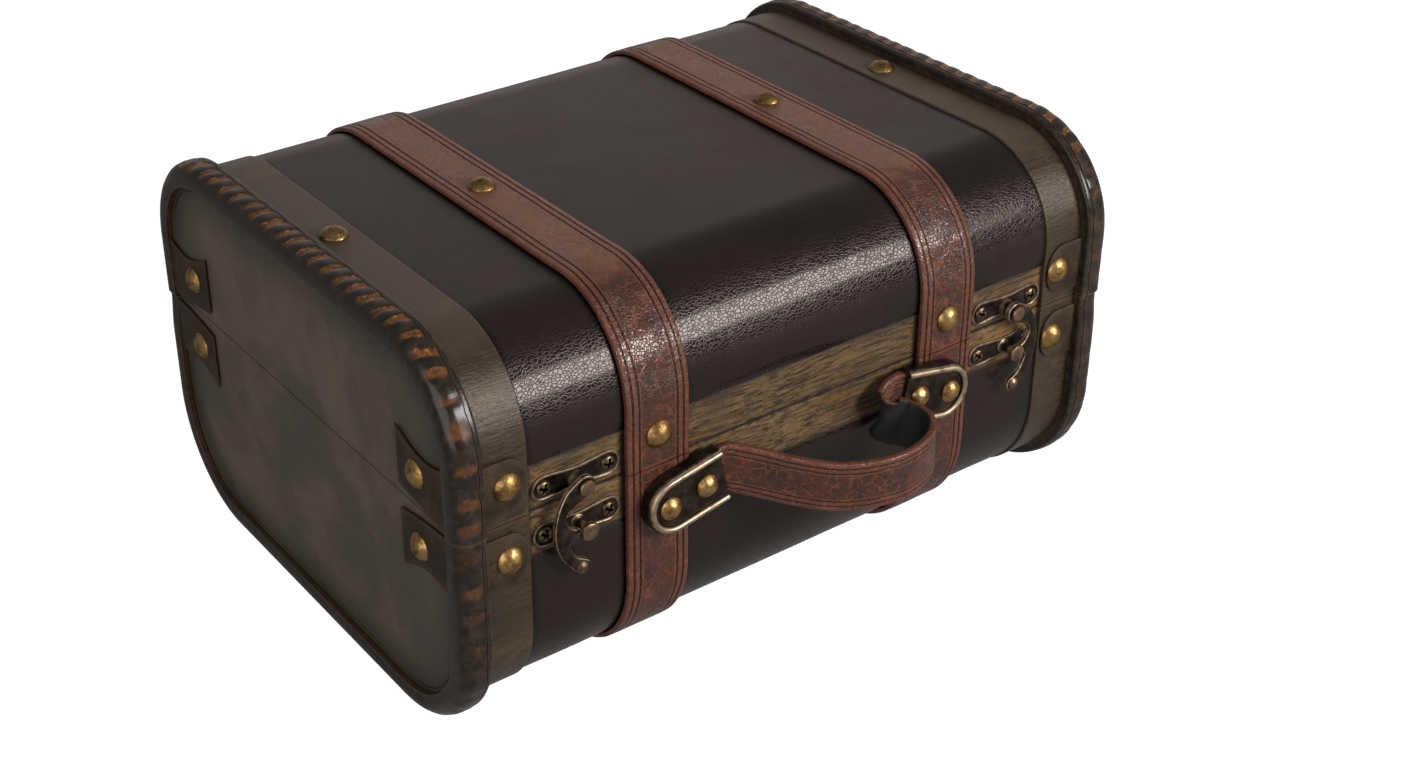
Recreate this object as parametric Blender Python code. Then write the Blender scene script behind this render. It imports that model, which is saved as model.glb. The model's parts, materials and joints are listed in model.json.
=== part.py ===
# Wooden suitcase box: a hinged lid, leather straps, swing hook latches and a slack leather handle.
# Lengths are in metres. X runs along the box, the locks face -Y and +Z is up.
# The pieces are placed about the middle of the box. The group "suitcase" then moves them all
# along Y, so that the origin lies under the middle of everything, handle included.

from math import asin, cos, pi, radians, sin, sqrt, tan

import bmesh
import bpy
from mathutils import Matrix, Vector

# Driving sizes of the box. The seam is a share of the height, each corner a share of its half's
# height, and each rail a share of the straight stretch below its corner
box_length = 0.270
box_depth = 0.203
box_height = 0.143
seam_share = 0.57762
top_corner_share = 0.62914
bottom_corner_share = 0.50847
base_rail_share = 0.42365
lid_rail_share = 0.7366

# Clearances and overruns
seam_gap = 0.0004
fit_gap = 0.0003
overrun = 0.002
arc_steps = 8

# Wooden walls, from the mouldings inwards
rim_depth = 0.0060
wall_thickness = 0.0060
board_thickness = 0.0090
board_recess = 0.0024

# Coverings
cover_thickness = 0.0012
band_thickness = 0.0019
band_width = 0.0165
strap_thickness = 0.0018
strap_width = 0.0240
strap_share = 0.44815
strap_edge_chamfer = 0.0005
lining_thickness = 0.0008

# Rim mouldings
rim_width = 0.0105
rim_end_round = 0.0050
rim_inner_round = 0.0020
rim_flange = 0.0085
rim_flange_chamfer = 0.0007
rim_end_steps = 4
rim_inner_steps = 2

# Corner tabs: leather tongues round each corner, held by studs
tab_thickness = 0.0010
tab_end_length = 0.0280
tab_front_tip = 0.0262
tab_low = 0.0016
tab_high = 0.0205
tab_tip_rise = 0.0030
tab_dip = 0.0030
tab_bend = 0.0036
tab_point_share = 0.9
tab_bend_shares = ((1.0, 0.0), (0.45, 0.12), (0.12, 0.42))
tab_steps = 5

# Studs
stud_radius = 0.0050
stud_height = 0.0030
stud_from_seam = 0.0132
stud_from_end = 0.0190
stud_end_face_share = 0.72
strap_stud_from_seam = 0.0115
nail_radius = 0.0010
nail_length = 0.0065
round_sides = 12
small_round_sides = 8
dome_steps = 2
dome_flat_share = 0.14
fused_depth = 0.0005

# Hinges, as shares of the room between a strap and the strip beside the moulding
hinge_room_share = 0.5014
leaf_room_share = 0.745
leaf_screw_share = 0.554
leaf_height = 0.0125
leaf_thickness = 0.0009
pin_radius = 0.0011
pin_head_radius = 0.0017
pin_head_length = 0.0010
knuckle_share = 1 / 3
curl_steps = 8
back_relief = radians(52)

# Latches, in the same room on the front. Their levels are shares of the rails' heights
latch_room_share = 0.51
latch_clearance = 0.00125
plate_rise_share = 0.4
pivot_rise_share = 0.32727
keeper_drop_share = 0.59302
post_drop_share = 0.56976
plate_thickness = 0.0010
lobe_radius = 0.0044
waist_radius = 0.0034
waist_steps = 4
lobe_steps = 4
screw_radius = 0.0026
screw_height = 0.0008
screw_head_shares = ((1.0, 0.0), (0.96, 0.4), (0.72, 0.85), (0.3, 1.0))
pivot_radius = 0.0015
pivot_head_radius = 0.0027
pivot_head_height = 0.0011
pivot_head_shares = ((1.0, 0.0), (1.0, 0.5), (0.6, 1.0))
collar_radius = 0.0030
collar_height = 0.0020
post_radius = 0.0015
post_head_radius = 0.0032
post_head_height = 0.0022
post_head_shares = ((0.94, 0.0), (1.0, 0.15), (1.0, 0.7), (0.8, 1.0))
post_foot_radius = 0.0024
post_foot_height = 0.0009
hook_thickness = 0.0018
hook_eye_radius = 0.0037
hook_reach = 0.0114
hook_smooth_steps = 2
hook_edge = 0.0003
thumb_radius = 0.0021
thumb_height = 0.0011

# Handle
handle_width = 0.0180
handle_thickness = 0.0030
handle_edge = 0.0006
handle_reach = 0.0287
handle_drop = 0.0040
handle_smooth_steps = 2
handle_straight = 0.0030
handle_end_steps = 3
handle_end_turn = radians(74)
handle_plate_drop_share = 0.7558
handle_plate_tilt = radians(11)
handle_plate_length = 0.0300
handle_plate_width = 0.0210
handle_plate_lead = 0.0225
handle_plate_wall = 0.0012
handle_plate_floor = 0.0010
handle_plate_lip = 0.0008
rivet_radius = 0.0042
rivet_height = 0.0026
rivet_shank_radius = 0.0012
rivet_grip = 0.0040
outer_rivet_share = 0.72
inner_rivet_share = 0.23333

# Places of the layers, as insets from the crown of the mouldings
wall_inset = rim_depth + fit_gap
cover_outer = rim_depth - cover_thickness
band_outer = rim_depth - band_thickness
strap_inner = cover_outer - fit_gap
strap_outer = strap_inner - strap_thickness
tab_inner = band_outer - fit_gap
tab_outer = tab_inner - tab_thickness
lining_outer = wall_inset + wall_thickness + fit_gap
lining_inner = lining_outer + lining_thickness

# Places along the box, from its end inwards
flange_back = board_recess - fit_gap
tab_end_back = flange_back
tab_end_front = tab_end_back - tab_thickness
board_inner = board_recess + board_thickness
wall_end = board_inner + fit_gap
band_start = rim_width + fit_gap
band_end = band_start + band_width
cover_end = band_end + fit_gap

half_length = box_length / 2
half_depth = box_depth / 2
wall_face = half_depth - wall_inset
strap_face = half_depth - strap_outer
knuckle_radius = pin_radius + fit_gap + leaf_thickness
hinge_y = wall_face + fit_gap + knuckle_radius
seam_height = box_height * seam_share
lid_height = box_height - seam_height
bottom_corner_radius = seam_height * bottom_corner_share
top_corner_radius = lid_height * top_corner_share
corner_radii = {"base": bottom_corner_radius, "lid": top_corner_radius}
rail_heights = {
    "base": (seam_height - bottom_corner_radius) * base_rail_share,
    "lid": (lid_height - top_corner_radius) * lid_rail_share,
}
far_levels = {"base": 0.0, "lid": box_height}
ups = {"base": -1, "lid": 1}
sides = {"left": -1, "right": 1}
faces = {"front": -1, "back": 1}

# Places from the box's middle that follow its length
strap_from_middle = half_length * strap_share
strap_edge = strap_from_middle + strap_width / 2
fitting_room = half_length - cover_end - strap_edge
hinge_from_middle = strap_edge + fitting_room * hinge_room_share
leaf_width = fitting_room * leaf_room_share
leaf_screw_spacing = leaf_width * leaf_screw_share
latch_from_middle = strap_edge + fitting_room * latch_room_share
screw_spacing = fitting_room - 2 * (lobe_radius + latch_clearance)
handle_plate_inner_end = strap_from_middle - handle_plate_lead
outer_rivet_from_middle = handle_plate_inner_end + handle_plate_length * outer_rivet_share
inner_rivet_from_middle = handle_plate_inner_end + handle_plate_length * inner_rivet_share

# Levels that follow the rails
plate_screw_rise = rail_heights["lid"] * plate_rise_share
pivot_rise = rail_heights["lid"] * pivot_rise_share
keeper_screw_drop = rail_heights["base"] * keeper_drop_share
post_drop = rail_heights["base"] * post_drop_share
handle_plate_below_seam = rail_heights["base"] * handle_plate_drop_share

# Turns that point a piece made along +Z out of a face of the box
out_of_front = Matrix.Rotation(pi / 2, 4, "X")
out_of_back = Matrix.Rotation(-pi / 2, 4, "X")
out_of_top = Matrix.Identity(4)
along_x = Matrix.Rotation(pi / 2, 4, "Y")

# Finishes: colour, roughness and metallic value
finishes = {
    "dark_board": ((0.055, 0.046, 0.038), 0.45, 0.0),
    "golden_rail": ((0.155, 0.107, 0.038), 0.55, 0.0),
    "brushed_band": ((0.090, 0.070, 0.040), 0.45, 0.0),
    "burnt_rim": ((0.070, 0.040, 0.020), 0.30, 0.0),
    "black_cover": ((0.026, 0.018, 0.016), 0.32, 0.0),
    "tab_leather": ((0.040, 0.026, 0.020), 0.50, 0.0),
    "brown_strap": ((0.120, 0.042, 0.024), 0.42, 0.0),
    "plywood": ((0.230, 0.160, 0.090), 0.65, 0.0),
    "lining_cloth": ((0.060, 0.018, 0.018), 0.90, 0.0),
    "brass": ((0.480, 0.310, 0.110), 0.30, 1.0),
    "bronze": ((0.065, 0.048, 0.034), 0.35, 1.0),
}


def clear_scene():
    for thing in list(bpy.data.objects):
        bpy.data.objects.remove(thing, do_unlink=True)


def finish(name):
    known = bpy.data.materials.get(name)
    if known:
        return known
    colour, roughness, metallic = finishes[name]
    material = bpy.data.materials.new(name)
    material.use_nodes = True
    shader = material.node_tree.nodes["Principled BSDF"]
    shader.inputs["Base Color"].default_value = (*colour, 1.0)
    shader.inputs["Roughness"].default_value = roughness
    shader.inputs["Metallic"].default_value = metallic
    return material


def group(name, place, parent=None):
    empty = bpy.data.objects.new(name, None)
    bpy.context.scene.collection.objects.link(empty)
    empty.parent = parent
    empty.location = place
    return empty


def attach(thing, parent):
    """Parents a piece while its mesh keeps the coordinates of the box."""
    thing.parent = parent
    thing.matrix_parent_inverse = Matrix.Translation(-Vector(group_places[parent.name]))
    return thing


def mesh_piece(name, points, polygons, material, parent):
    mesh = bpy.data.meshes.new(name)
    mesh.from_pydata([tuple(point) for point in points], [], polygons)
    form = bmesh.new()
    form.from_mesh(mesh)
    bmesh.ops.recalc_face_normals(form, faces=form.faces)
    form.to_mesh(mesh)
    form.free()
    mesh.shade_smooth()
    mesh.set_sharp_from_angle(angle=radians(35))
    if material:
        mesh.materials.append(finish(material))
    piece = bpy.data.objects.new(name, mesh)
    bpy.context.scene.collection.objects.link(piece)
    return attach(piece, parent)


def loft(name, rings, material, parent):
    """A closed tube through rings of equal counts, with flat ends."""
    count = len(rings[0])
    points = [point for ring in rings for point in ring]
    polygons = [list(range(count)), [(len(rings) - 1) * count + i for i in range(count)]]
    for level in range(len(rings) - 1):
        here, there = level * count, (level + 1) * count
        for i in range(count):
            j = (i + 1) % count
            polygons.append([here + i, here + j, there + j, there + i])
    return mesh_piece(name, points, polygons, material, parent)


def placed(points, matrix):
    return [matrix @ Vector(point) for point in points]


def turned(name, profile, matrix, material, parent, count=round_sides):
    """A turned piece from (radius, height) pairs, made along +Z and put in place by a matrix."""
    angles = [2 * pi * i / count for i in range(count)]
    rings = [
        placed([(radius * cos(a), radius * sin(a), height) for a in angles], matrix)
        for radius, height in profile
    ]
    return loft(name, rings, material, parent)


def block(name, low, high, material, parent):
    rings = [
        [(x, low[1], low[2]), (x, high[1], low[2]), (x, high[1], high[2]), (x, low[1], high[2])]
        for x in (low[0], high[0])
    ]
    return loft(name, rings, material, parent)


def standing_plate(name, outline, back, thickness, material, parent):
    """A flat piece from (x, z) points, its back at one depth, thickened towards -Y."""
    rings = [[(x, y, z) for x, z in outline] for y in (back, back - thickness)]
    return loft(name, rings, material, parent)


def hidden(thing):
    thing.hide_render = True
    thing.display_type = "WIRE"
    return thing


def combine(piece, other, operation):
    step = piece.modifiers.new(other.name, "BOOLEAN")
    step.operation = operation
    step.object = hidden(other)
    step.solver = "EXACT"


def cut(piece, cutter):
    combine(piece, cutter, "DIFFERENCE")


def fuse(piece, other):
    combine(piece, other, "UNION")


def round_bevel(piece, width):
    """Takes the sharp edges off a piece, before anything is fused to it or cut from it."""
    step = piece.modifiers.new("edge", "BEVEL")
    step.width = width
    step.segments = 1
    step.limit_method = "ANGLE"
    step.angle_limit = radians(40)


def smooth_loop(points, steps, closed=True):
    """A smooth curve through every point, with a few points between each pair."""
    count = len(points)
    points = [Vector(point) for point in points]
    curve = []
    for i in range(count if closed else count - 1):
        if closed:
            before, here, there, after = (points[(i + k - 1) % count] for k in range(4))
        else:
            before, here = points[max(i - 1, 0)], points[i]
            there, after = points[i + 1], points[min(i + 2, count - 1)]
        for step in range(steps):
            t = step / steps
            curve.append(
                (
                    2 * here
                    + (there - before) * t
                    + (2 * before - 5 * here + 4 * there - after) * t**2
                    + (3 * here - before - 3 * there + after) * t**3
                )
                / 2
            )
    return curve if closed else curve + [points[-1]]


def dome_profile(radius, height):
    """A shallow dome: an arc of the sphere that has this radius and height."""
    ball = (radius**2 + height**2) / (2 * height)
    reach = asin(radius / ball) if height <= radius else pi - asin(radius / ball)
    low = height - ball
    shares = [1 - (1 - dome_flat_share) * i / dome_steps for i in range(dome_steps + 1)]
    return [
        (ball * sin(reach * share), low + ball * cos(reach * share)) for share in shares
    ]


def nail_head(name, place, matrix, radius, height, shank, depth, material, parent):
    """A domed head with a plain shank below it."""
    profile = [(shank, -depth), (shank, 0.0)] + dome_profile(radius, height)
    return turned(name, profile, Matrix.Translation(place) @ matrix, material, parent)


def drill(piece, place, matrix, radius, depth, tag):
    """A round hole for a shank, with clearance, that ends below the shank."""
    profile = [(radius + fit_gap, -depth - fit_gap), (radius + fit_gap, overrun)]
    name = f"hole_{tag}_{piece.name}"
    matrix = Matrix.Translation(place) @ matrix
    cut(piece, turned(name, profile, matrix, None, piece.parent, small_round_sides))


# The walls, their coverings and the mouldings all follow one rounded outline


def wall_line(part, inset, from_seam):
    """Points (y, z) along one half of the box, from its front seam edge round to its back one."""
    up = ups[part]
    radius = corner_radii[part] - inset
    half = half_depth - inset
    far = far_levels[part] - up * inset
    edge = seam_height + up * from_seam
    points = [(-half, edge)]
    for centre, start in ((radius - half, pi), (half - radius, pi / 2)):
        for step in range(arc_steps + 1):
            angle = start - pi / 2 * step / arc_steps
            points.append((centre + radius * cos(angle), far - up * radius * (1 - sin(angle))))
    return points + [(half, edge)]


def swept(name, section, part, from_seam, material, parent):
    """A section of (x, inset) points carried along the outline of one half of the box."""
    lines = {inset: wall_line(part, inset, from_seam) for _, inset in section}
    count = len(lines[section[0][1]])
    rings = [[(x, *lines[inset][i]) for x, inset in section] for i in range(count)]
    return loft(name, rings, material, parent)


def from_end(side, distance):
    return sides[side] * (half_length - distance)


def skin_section(low, high, outer, inner):
    return [(low, outer), (high, outer), (high, inner), (low, inner)]


def relief_wedge(part, parent):
    """The room that the back of the mouldings and straps gives, so that the lid can swing back."""
    up = ups[part]
    reach = half_depth - hinge_y + overrun
    rings = [
        [
            (x, hinge_y, seam_height),
            (x, hinge_y + reach, seam_height - up * overrun),
            (x, hinge_y + reach, seam_height + up * reach * tan(back_relief)),
        ]
        for x in (-half_length - overrun, half_length + overrun)
    ]
    return loft(f"relief_{part}", rings, None, parent)


def end_board(part, side, parent):
    """A solid wooden end panel."""
    outline = wall_line(part, wall_inset, seam_gap / 2)
    rings = [
        [(from_end(side, distance), y, z) for y, z in outline]
        for distance in (board_recess, board_inner)
    ]
    return loft(f"{part}_end_{side}", rings, "dark_board", parent)


def rail(part, face, parent):
    """A straight wooden rail along the opening, whose outer face is left bare."""
    up, out = ups[part], faces[face]
    depths = sorted((out * wall_face, out * (wall_face - wall_thickness)))
    levels = sorted(
        (seam_height + up * seam_gap / 2, seam_height + up * rail_heights[part])
    )
    reach = half_length - wall_end
    low, high = (-reach, depths[0], levels[0]), (reach, depths[1], levels[1])
    return block(f"{part}_{face}_rail", low, high, "golden_rail", parent)


def shell(part, parent):
    """The bent plywood wall between the two rails."""
    reach = half_length - wall_end
    section = skin_section(-reach, reach, wall_inset, wall_inset + wall_thickness)
    return swept(
        f"{part}_shell", section, part, rail_heights[part] + fit_gap, "plywood", parent
    )


def cover(part, parent):
    """The glossy leather that wraps the wall and stops short of the rails."""
    reach = half_length - cover_end
    section = skin_section(-reach, reach, cover_outer, rim_depth)
    return swept(f"{part}_cover", section, part, rail_heights[part], "black_cover", parent)


def lining(part, parent):
    """A thin cloth tray inside each half."""
    reach = half_length - wall_end
    edge = seam_gap / 2 + fit_gap
    outer = wall_line(part, lining_outer, edge)
    rings = [[(x, y, z) for y, z in outer] for x in (-reach, reach)]
    tray = loft(f"{part}_lining", rings, "lining_cloth", parent)
    inner = wall_line(part, lining_inner, edge - overrun)
    inside = reach - lining_thickness
    hollow = [[(x, y, z) for y, z in inner] for x in (-inside, inside)]
    cut(tray, loft(f"hollow_{part}", hollow, None, parent))
    return tray


def band(part, side, parent):
    """The brushed strip beside each moulding."""
    section = skin_section(
        from_end(side, band_start), from_end(side, band_end), band_outer, rim_depth
    )
    return swept(f"{part}_band_{side}", section, part, seam_gap / 2, "brushed_band", parent)


def strap_section(middle):
    half = strap_width / 2
    edge = strap_edge_chamfer
    return [
        (middle - half, strap_inner),
        (middle - half, strap_outer + edge),
        (middle - half + edge, strap_outer),
        (middle + half - edge, strap_outer),
        (middle + half, strap_outer + edge),
        (middle + half, strap_inner),
    ]


def strap(part, side, parent):
    """A leather strap that crosses one half of the box and bridges the bare rails."""
    section = strap_section(sides[side] * strap_from_middle)
    return swept(f"{part}_strap_{side}", section, part, seam_gap / 2, "brown_strap", parent)


def rim_section(side):
    """The moulding: a round outer edge, a flat crown and a flange on the end board."""
    points = [
        (rim_end_round * (1 - cos(a)), rim_end_round * (1 - sin(a)))
        for a in [pi / 2 * i / rim_end_steps for i in range(rim_end_steps + 1)]
    ]
    points += [
        (
            rim_width - rim_inner_round * (1 - sin(a)),
            rim_inner_round * (1 - cos(a)),
        )
        for a in [pi / 2 * i / rim_inner_steps for i in range(rim_inner_steps + 1)]
    ]
    points += [
        (rim_width, rim_depth),
        (flange_back, rim_depth),
        (flange_back, rim_flange),
        (rim_flange_chamfer, rim_flange),
        (0.0, rim_flange - rim_flange_chamfer),
    ]
    return [(from_end(side, x), inset) for x, inset in points]


def rim(part, side, parent):
    name = f"{part}_rim_{side}"
    return swept(name, rim_section(side), part, seam_gap / 2, "burnt_rim", parent)


# Corner tabs


def tab_middle_line():
    """Stations (distance from the end, inset) along the middle of a tab's thickness."""
    half = tab_thickness / 2
    front_inset, end_distance = tab_outer + half, tab_end_front + half
    front = [
        (tab_front_tip - (tab_front_tip - rim_width) * i / tab_steps, front_inset)
        for i in range(tab_steps + 1)
    ]
    corner = [
        (end_distance + tab_bend * along, front_inset + tab_bend * across)
        for along, across in tab_bend_shares
    ]
    corner.append((end_distance, rim_depth))
    end = [
        (end_distance, rim_flange + tab_end_length * i / tab_steps)
        for i in range(tab_steps + 1)
    ]
    return front, corner, end


def tab_heights():
    """Low and high edges of a tab, counted from the seam, at each station."""
    middle = stud_from_seam
    half = (tab_high - tab_low) / 2
    reach = tab_front_tip - stud_from_end
    front = []
    for i in range(tab_steps + 1):
        distance = tab_front_tip - (tab_front_tip - rim_width) * i / tab_steps
        past = max(distance - stud_from_end, 0.0) / reach
        rise = half * sqrt(1 - tab_point_share * past**2)
        front.append((max(middle - rise, tab_low), middle + rise))
    shoulder = middle + half
    corner = [(tab_low, shoulder)] * 4
    end = []
    for i in range(tab_steps + 1):
        share = i / tab_steps
        high = shoulder + tab_tip_rise * share**2 - tab_dip * sin(pi * share)
        end.append((tab_low + tab_tip_rise * share**2, high))
    return front, corner, end


def offset_line(stations, distance):
    """The stations moved sideways, outwards from the box."""
    moved = []
    for i, (x, inset) in enumerate(stations):
        before, after = stations[max(i - 1, 0)], stations[min(i + 1, len(stations) - 1)]
        along = Vector((after[0] - before[0], after[1] - before[1])).normalized()
        moved.append((x - along.y * distance, inset + along.x * distance))
    return moved


def tab_place(side, face, distance, inset):
    return from_end(side, distance), faces[face] * (half_depth - inset)


def tab_strip(name, part, side, face, outer, inner, heights, material, parent):
    up = ups[part]
    rings = []
    for (a, b), (c, d), (low, high) in zip(outer, inner, heights):
        outer_xy, inner_xy = tab_place(side, face, a, b), tab_place(side, face, c, d)
        levels = (seam_height + up * low, seam_height + up * high)
        rings.append(
            [
                (*outer_xy, levels[0]),
                (*outer_xy, levels[1]),
                (*inner_xy, levels[1]),
                (*inner_xy, levels[0]),
            ]
        )
    return loft(name, rings, material, parent)


def end_stud_inset():
    return rim_flange + tab_end_length * stud_end_face_share


def tab(part, side, face, parent):
    """A leather tongue on the face, one on the end board and the bend between them."""
    name = f"{part}_tab_{face}_{side}"
    line = [station for stretch in tab_middle_line() for station in stretch]
    heights = [pair for stretch in tab_heights() for pair in stretch]
    half = tab_thickness / 2
    outer, inner = offset_line(line, half), offset_line(line, -half)
    piece = tab_strip(name, part, side, face, outer, inner, heights, "tab_leather", parent)
    level = seam_height + ups[part] * stud_from_seam
    turn = out_of_front if face == "front" else out_of_back
    x, y = tab_place(side, face, stud_from_end, tab_outer)
    stud_on(piece, (x, y, level), turn, f"face_{name}", parent)
    x, y = tab_place(side, face, tab_end_front, end_stud_inset())
    turn = Matrix.Rotation(sides[side] * pi / 2, 4, "Y")
    stud_on(piece, (x, y, level), turn, f"end_{name}", parent)
    return piece


def stud_on(piece, place, turn, tag, parent):
    """Fuses a stud's head to the leather that it holds."""
    profile = [(stud_radius, -fused_depth)] + dome_profile(stud_radius, stud_height)
    matrix = Matrix.Translation(place) @ turn
    fuse(piece, turned(f"stud_{tag}", profile, matrix, None, parent))


def tab_room(part, side, face, parent):
    """The hollow under a moulding that a tab passes through."""
    front, corner, end = tab_middle_line()
    line = [(rim_width + overrun, front[-1][1]), front[-1]] + corner + end[:1]
    line.append((end[0][0], end[0][1] + overrun))
    clear = tab_thickness / 2 + fit_gap
    outer = offset_line(line, clear)
    back = (rim_flange + overrun, rim_depth + overrun, flange_back + overrun)
    outline = outer + [(back[2], back[0]), (back[2], back[1]), (rim_width + overrun, back[1])]
    up = ups[part]
    levels = (seam_height - up * overrun, seam_height + up * (tab_high + tab_tip_rise + fit_gap))
    rings = [
        [(*tab_place(side, face, distance, inset), level) for distance, inset in outline]
        for level in levels
    ]
    return loft(f"room_{part}_{face}_{side}", rings, None, parent)


# Hinges: rolled leaves screwed on the back rails, and their pins


def leaf(part, side, parent):
    """A hinge leaf: a flat plate whose edge is rolled round the pin, cut into knuckles."""
    up = ups[part]
    name = f"{part}_hinge_leaf_{side}"
    back, inner = hinge_y - knuckle_radius, knuckle_radius - leaf_thickness
    turns = [pi + 1.5 * pi * i / curl_steps for i in range(curl_steps + 1)]
    outline = [(back, leaf_height)]
    outline += [(hinge_y + knuckle_radius * cos(a), knuckle_radius * sin(a)) for a in turns]
    outline += [(hinge_y + inner * cos(a), inner * sin(a)) for a in reversed(turns)]
    outline.append((back + leaf_thickness, leaf_height))
    middle = sides[side] * hinge_from_middle
    rings = [
        [(x, y, seam_height + up * z) for y, z in outline]
        for x in (middle - leaf_width / 2, middle + leaf_width / 2)
    ]
    piece = loft(name, rings, "bronze", parent)
    half_knuckle = leaf_width * knuckle_share / 2
    if part == "base":
        notches = [(middle - half_knuckle - fit_gap, middle + half_knuckle + fit_gap)]
    else:
        notches = [
            (middle - leaf_width / 2 - overrun, middle - half_knuckle),
            (middle + half_knuckle, middle + leaf_width / 2 + overrun),
        ]
    levels = sorted(
        (
            seam_height - up * (knuckle_radius + overrun),
            seam_height + up * (knuckle_radius + fit_gap),
        )
    )
    for i, (low, high) in enumerate(notches):
        near = (low, back - overrun, levels[0])
        far = (high, hinge_y + knuckle_radius + overrun, levels[1])
        cut(piece, block(f"notch_{i}_{name}", near, far, None, parent))
    level = seam_height + up * (leaf_height + knuckle_radius) / 2
    for i, shift in enumerate((-1, 1)):
        x = middle + shift * leaf_screw_spacing / 2
        screw_on(piece, (x, back + leaf_thickness, level), out_of_back, f"{i}_{name}", parent)
    return piece


def hinge_pin(side, parent):
    """The pin that both leaves turn on, with a small head at each end."""
    reach = leaf_width / 2 + fit_gap
    far = reach + pin_head_length
    profile = [
        (pin_head_radius, -far),
        (pin_head_radius, -reach),
        (pin_radius, -reach),
        (pin_radius, reach),
        (pin_head_radius, reach),
        (pin_head_radius, far),
    ]
    place = (sides[side] * hinge_from_middle, hinge_y, seam_height)
    matrix = Matrix.Translation(place) @ along_x
    return turned(f"hinge_pin_{side}", profile, matrix, "bronze", parent, small_round_sides)


def screw_on(piece, place, turn, tag, parent):
    """Fuses a round screw head to the plate that it holds."""
    profile = [(screw_radius, -fused_depth)]
    profile += head_profile(screw_head_shares, screw_radius, screw_height, 0.0)
    matrix = Matrix.Translation(place) @ turn
    fuse(piece, turned(f"screw_{tag}", profile, matrix, None, parent, small_round_sides))


def head_profile(shares, radius, height, level):
    """(radius, height) pairs of a turned head that starts at a level."""
    return [(radius * across, level + height * up) for across, up in shares]


# Swing hook latches


def lobed_outline(centre_x, centre_z):
    """A narrow plate with a round lobe at each end."""
    span = screw_spacing / 2
    angles = [pi * i / lobe_steps - pi / 2 for i in range(lobe_steps + 1)]
    right = [(span + lobe_radius * cos(a), lobe_radius * sin(a)) for a in angles]
    top = []
    for i in range(1, waist_steps):
        share = 1 - 2 * i / waist_steps
        near = share**2 * (3 - 2 * abs(share))
        top.append((span * share, waist_radius + (lobe_radius - waist_radius) * near))
    half = right + top
    outline = half + [(-x, -z) for x, z in half]
    return [(centre_x + x, centre_z + z) for x, z in outline]


plate_back = -(wall_face + fit_gap)
plate_front = plate_back - plate_thickness
collar_front = plate_front - collar_height
hook_back = collar_front - fit_gap
hook_front = hook_back - hook_thickness
pivot_head_back = hook_front - fit_gap
pivot_level = seam_height + pivot_rise
post_level = seam_height - post_drop
hook_drop = pivot_level - post_level


def latch_x(side):
    return sides[side] * latch_from_middle


def screwed_plate(name, side, level, parent):
    x = latch_x(side)
    outline = lobed_outline(x, level)
    piece = standing_plate(name, outline, plate_back, plate_thickness, "bronze", parent)
    round_bevel(piece, fit_gap)
    for i, shift in enumerate((-1, 1)):
        place = (x + shift * screw_spacing / 2, plate_front, level)
        screw_on(piece, place, out_of_front, f"{i}_{name}", parent)
    return piece


def latch_plate(side, parent):
    """The plate on the lid's rail, with the collar and the rivet that the hook turns on."""
    name = f"latch_plate_{side}"
    piece = screwed_plate(name, side, seam_height + plate_screw_rise, parent)
    head_back = plate_front - pivot_head_back
    profile = [
        (collar_radius, -fused_depth),
        (collar_radius, collar_height),
        (pivot_radius, collar_height),
        (pivot_radius, head_back),
    ]
    profile += head_profile(pivot_head_shares, pivot_head_radius, pivot_head_height, head_back)
    matrix = Matrix.Translation((latch_x(side), plate_front, pivot_level)) @ out_of_front
    fuse(piece, turned(f"pivot_{name}", profile, matrix, None, parent))
    return piece


def latch_keeper(side, parent):
    """The plate on the base's rail, with the headed post that the hook catches."""
    name = f"latch_keeper_{side}"
    piece = screwed_plate(name, side, seam_height - keeper_screw_drop, parent)
    head_back = plate_front - pivot_head_back
    profile = [
        (post_foot_radius, -fused_depth),
        (post_foot_radius, post_foot_height / 2),
        (post_radius, post_foot_height),
        (post_radius, head_back),
    ]
    profile += head_profile(post_head_shares, post_head_radius, post_head_height, head_back)
    matrix = Matrix.Translation((latch_x(side), plate_front, post_level)) @ out_of_front
    fuse(piece, turned(f"post_{name}", profile, matrix, None, parent))
    return piece


# Outline of the hook below its eye: outward shares of hook_reach, downward shares of hook_drop
hook_back_shares = [
    (0.58, 0.0),
    (0.82, 0.29),
    (0.96, 0.62),
    (1.0, 0.94),
    (0.94, 1.27),
    (0.75, 1.59),
    (0.47, 1.86),
    (0.22, 2.04),
    (0.02, 2.065),
    (-0.12, 1.95),
    (-0.06, 1.79),
    (0.11, 1.71),
    (0.33, 1.60),
    (0.47, 1.42),
    (0.55, 1.23),
]
hook_belly_shares = [(0.58, 0.79), (0.65, 0.61), (0.56, 0.45), (0.33, 0.36)]
hook_nose_shares = [(0.41, 1.10), (0.40, 0.90)]
thumb_shares = (0.16, 1.90)


def hook_outline(side):
    """The hook's outline: the eye, the bowed back, the thumb end, the nose and the belly."""
    eye_angles = [radians(a) for a in (-40, 10, 50, 90, 130)]
    eye = [(-hook_eye_radius * cos(a), hook_eye_radius * sin(a)) for a in eye_angles]
    nose = post_radius + fit_gap
    points = eye + [(a * hook_reach, -b * hook_drop) for a, b in hook_back_shares]
    low, high = hook_nose_shares
    points.append((low[0] * hook_reach, -low[1] * hook_drop))
    points.append((nose + fit_gap, -hook_drop))
    points.append((high[0] * hook_reach, -high[1] * hook_drop))
    points += [(a * hook_reach, -b * hook_drop) for a, b in hook_belly_shares]
    loop = smooth_loop([(x, z, 0.0) for x, z in points], hook_smooth_steps)
    return [(latch_x(side) + sides[side] * point.x, pivot_level + point.y) for point in loop]


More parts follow.
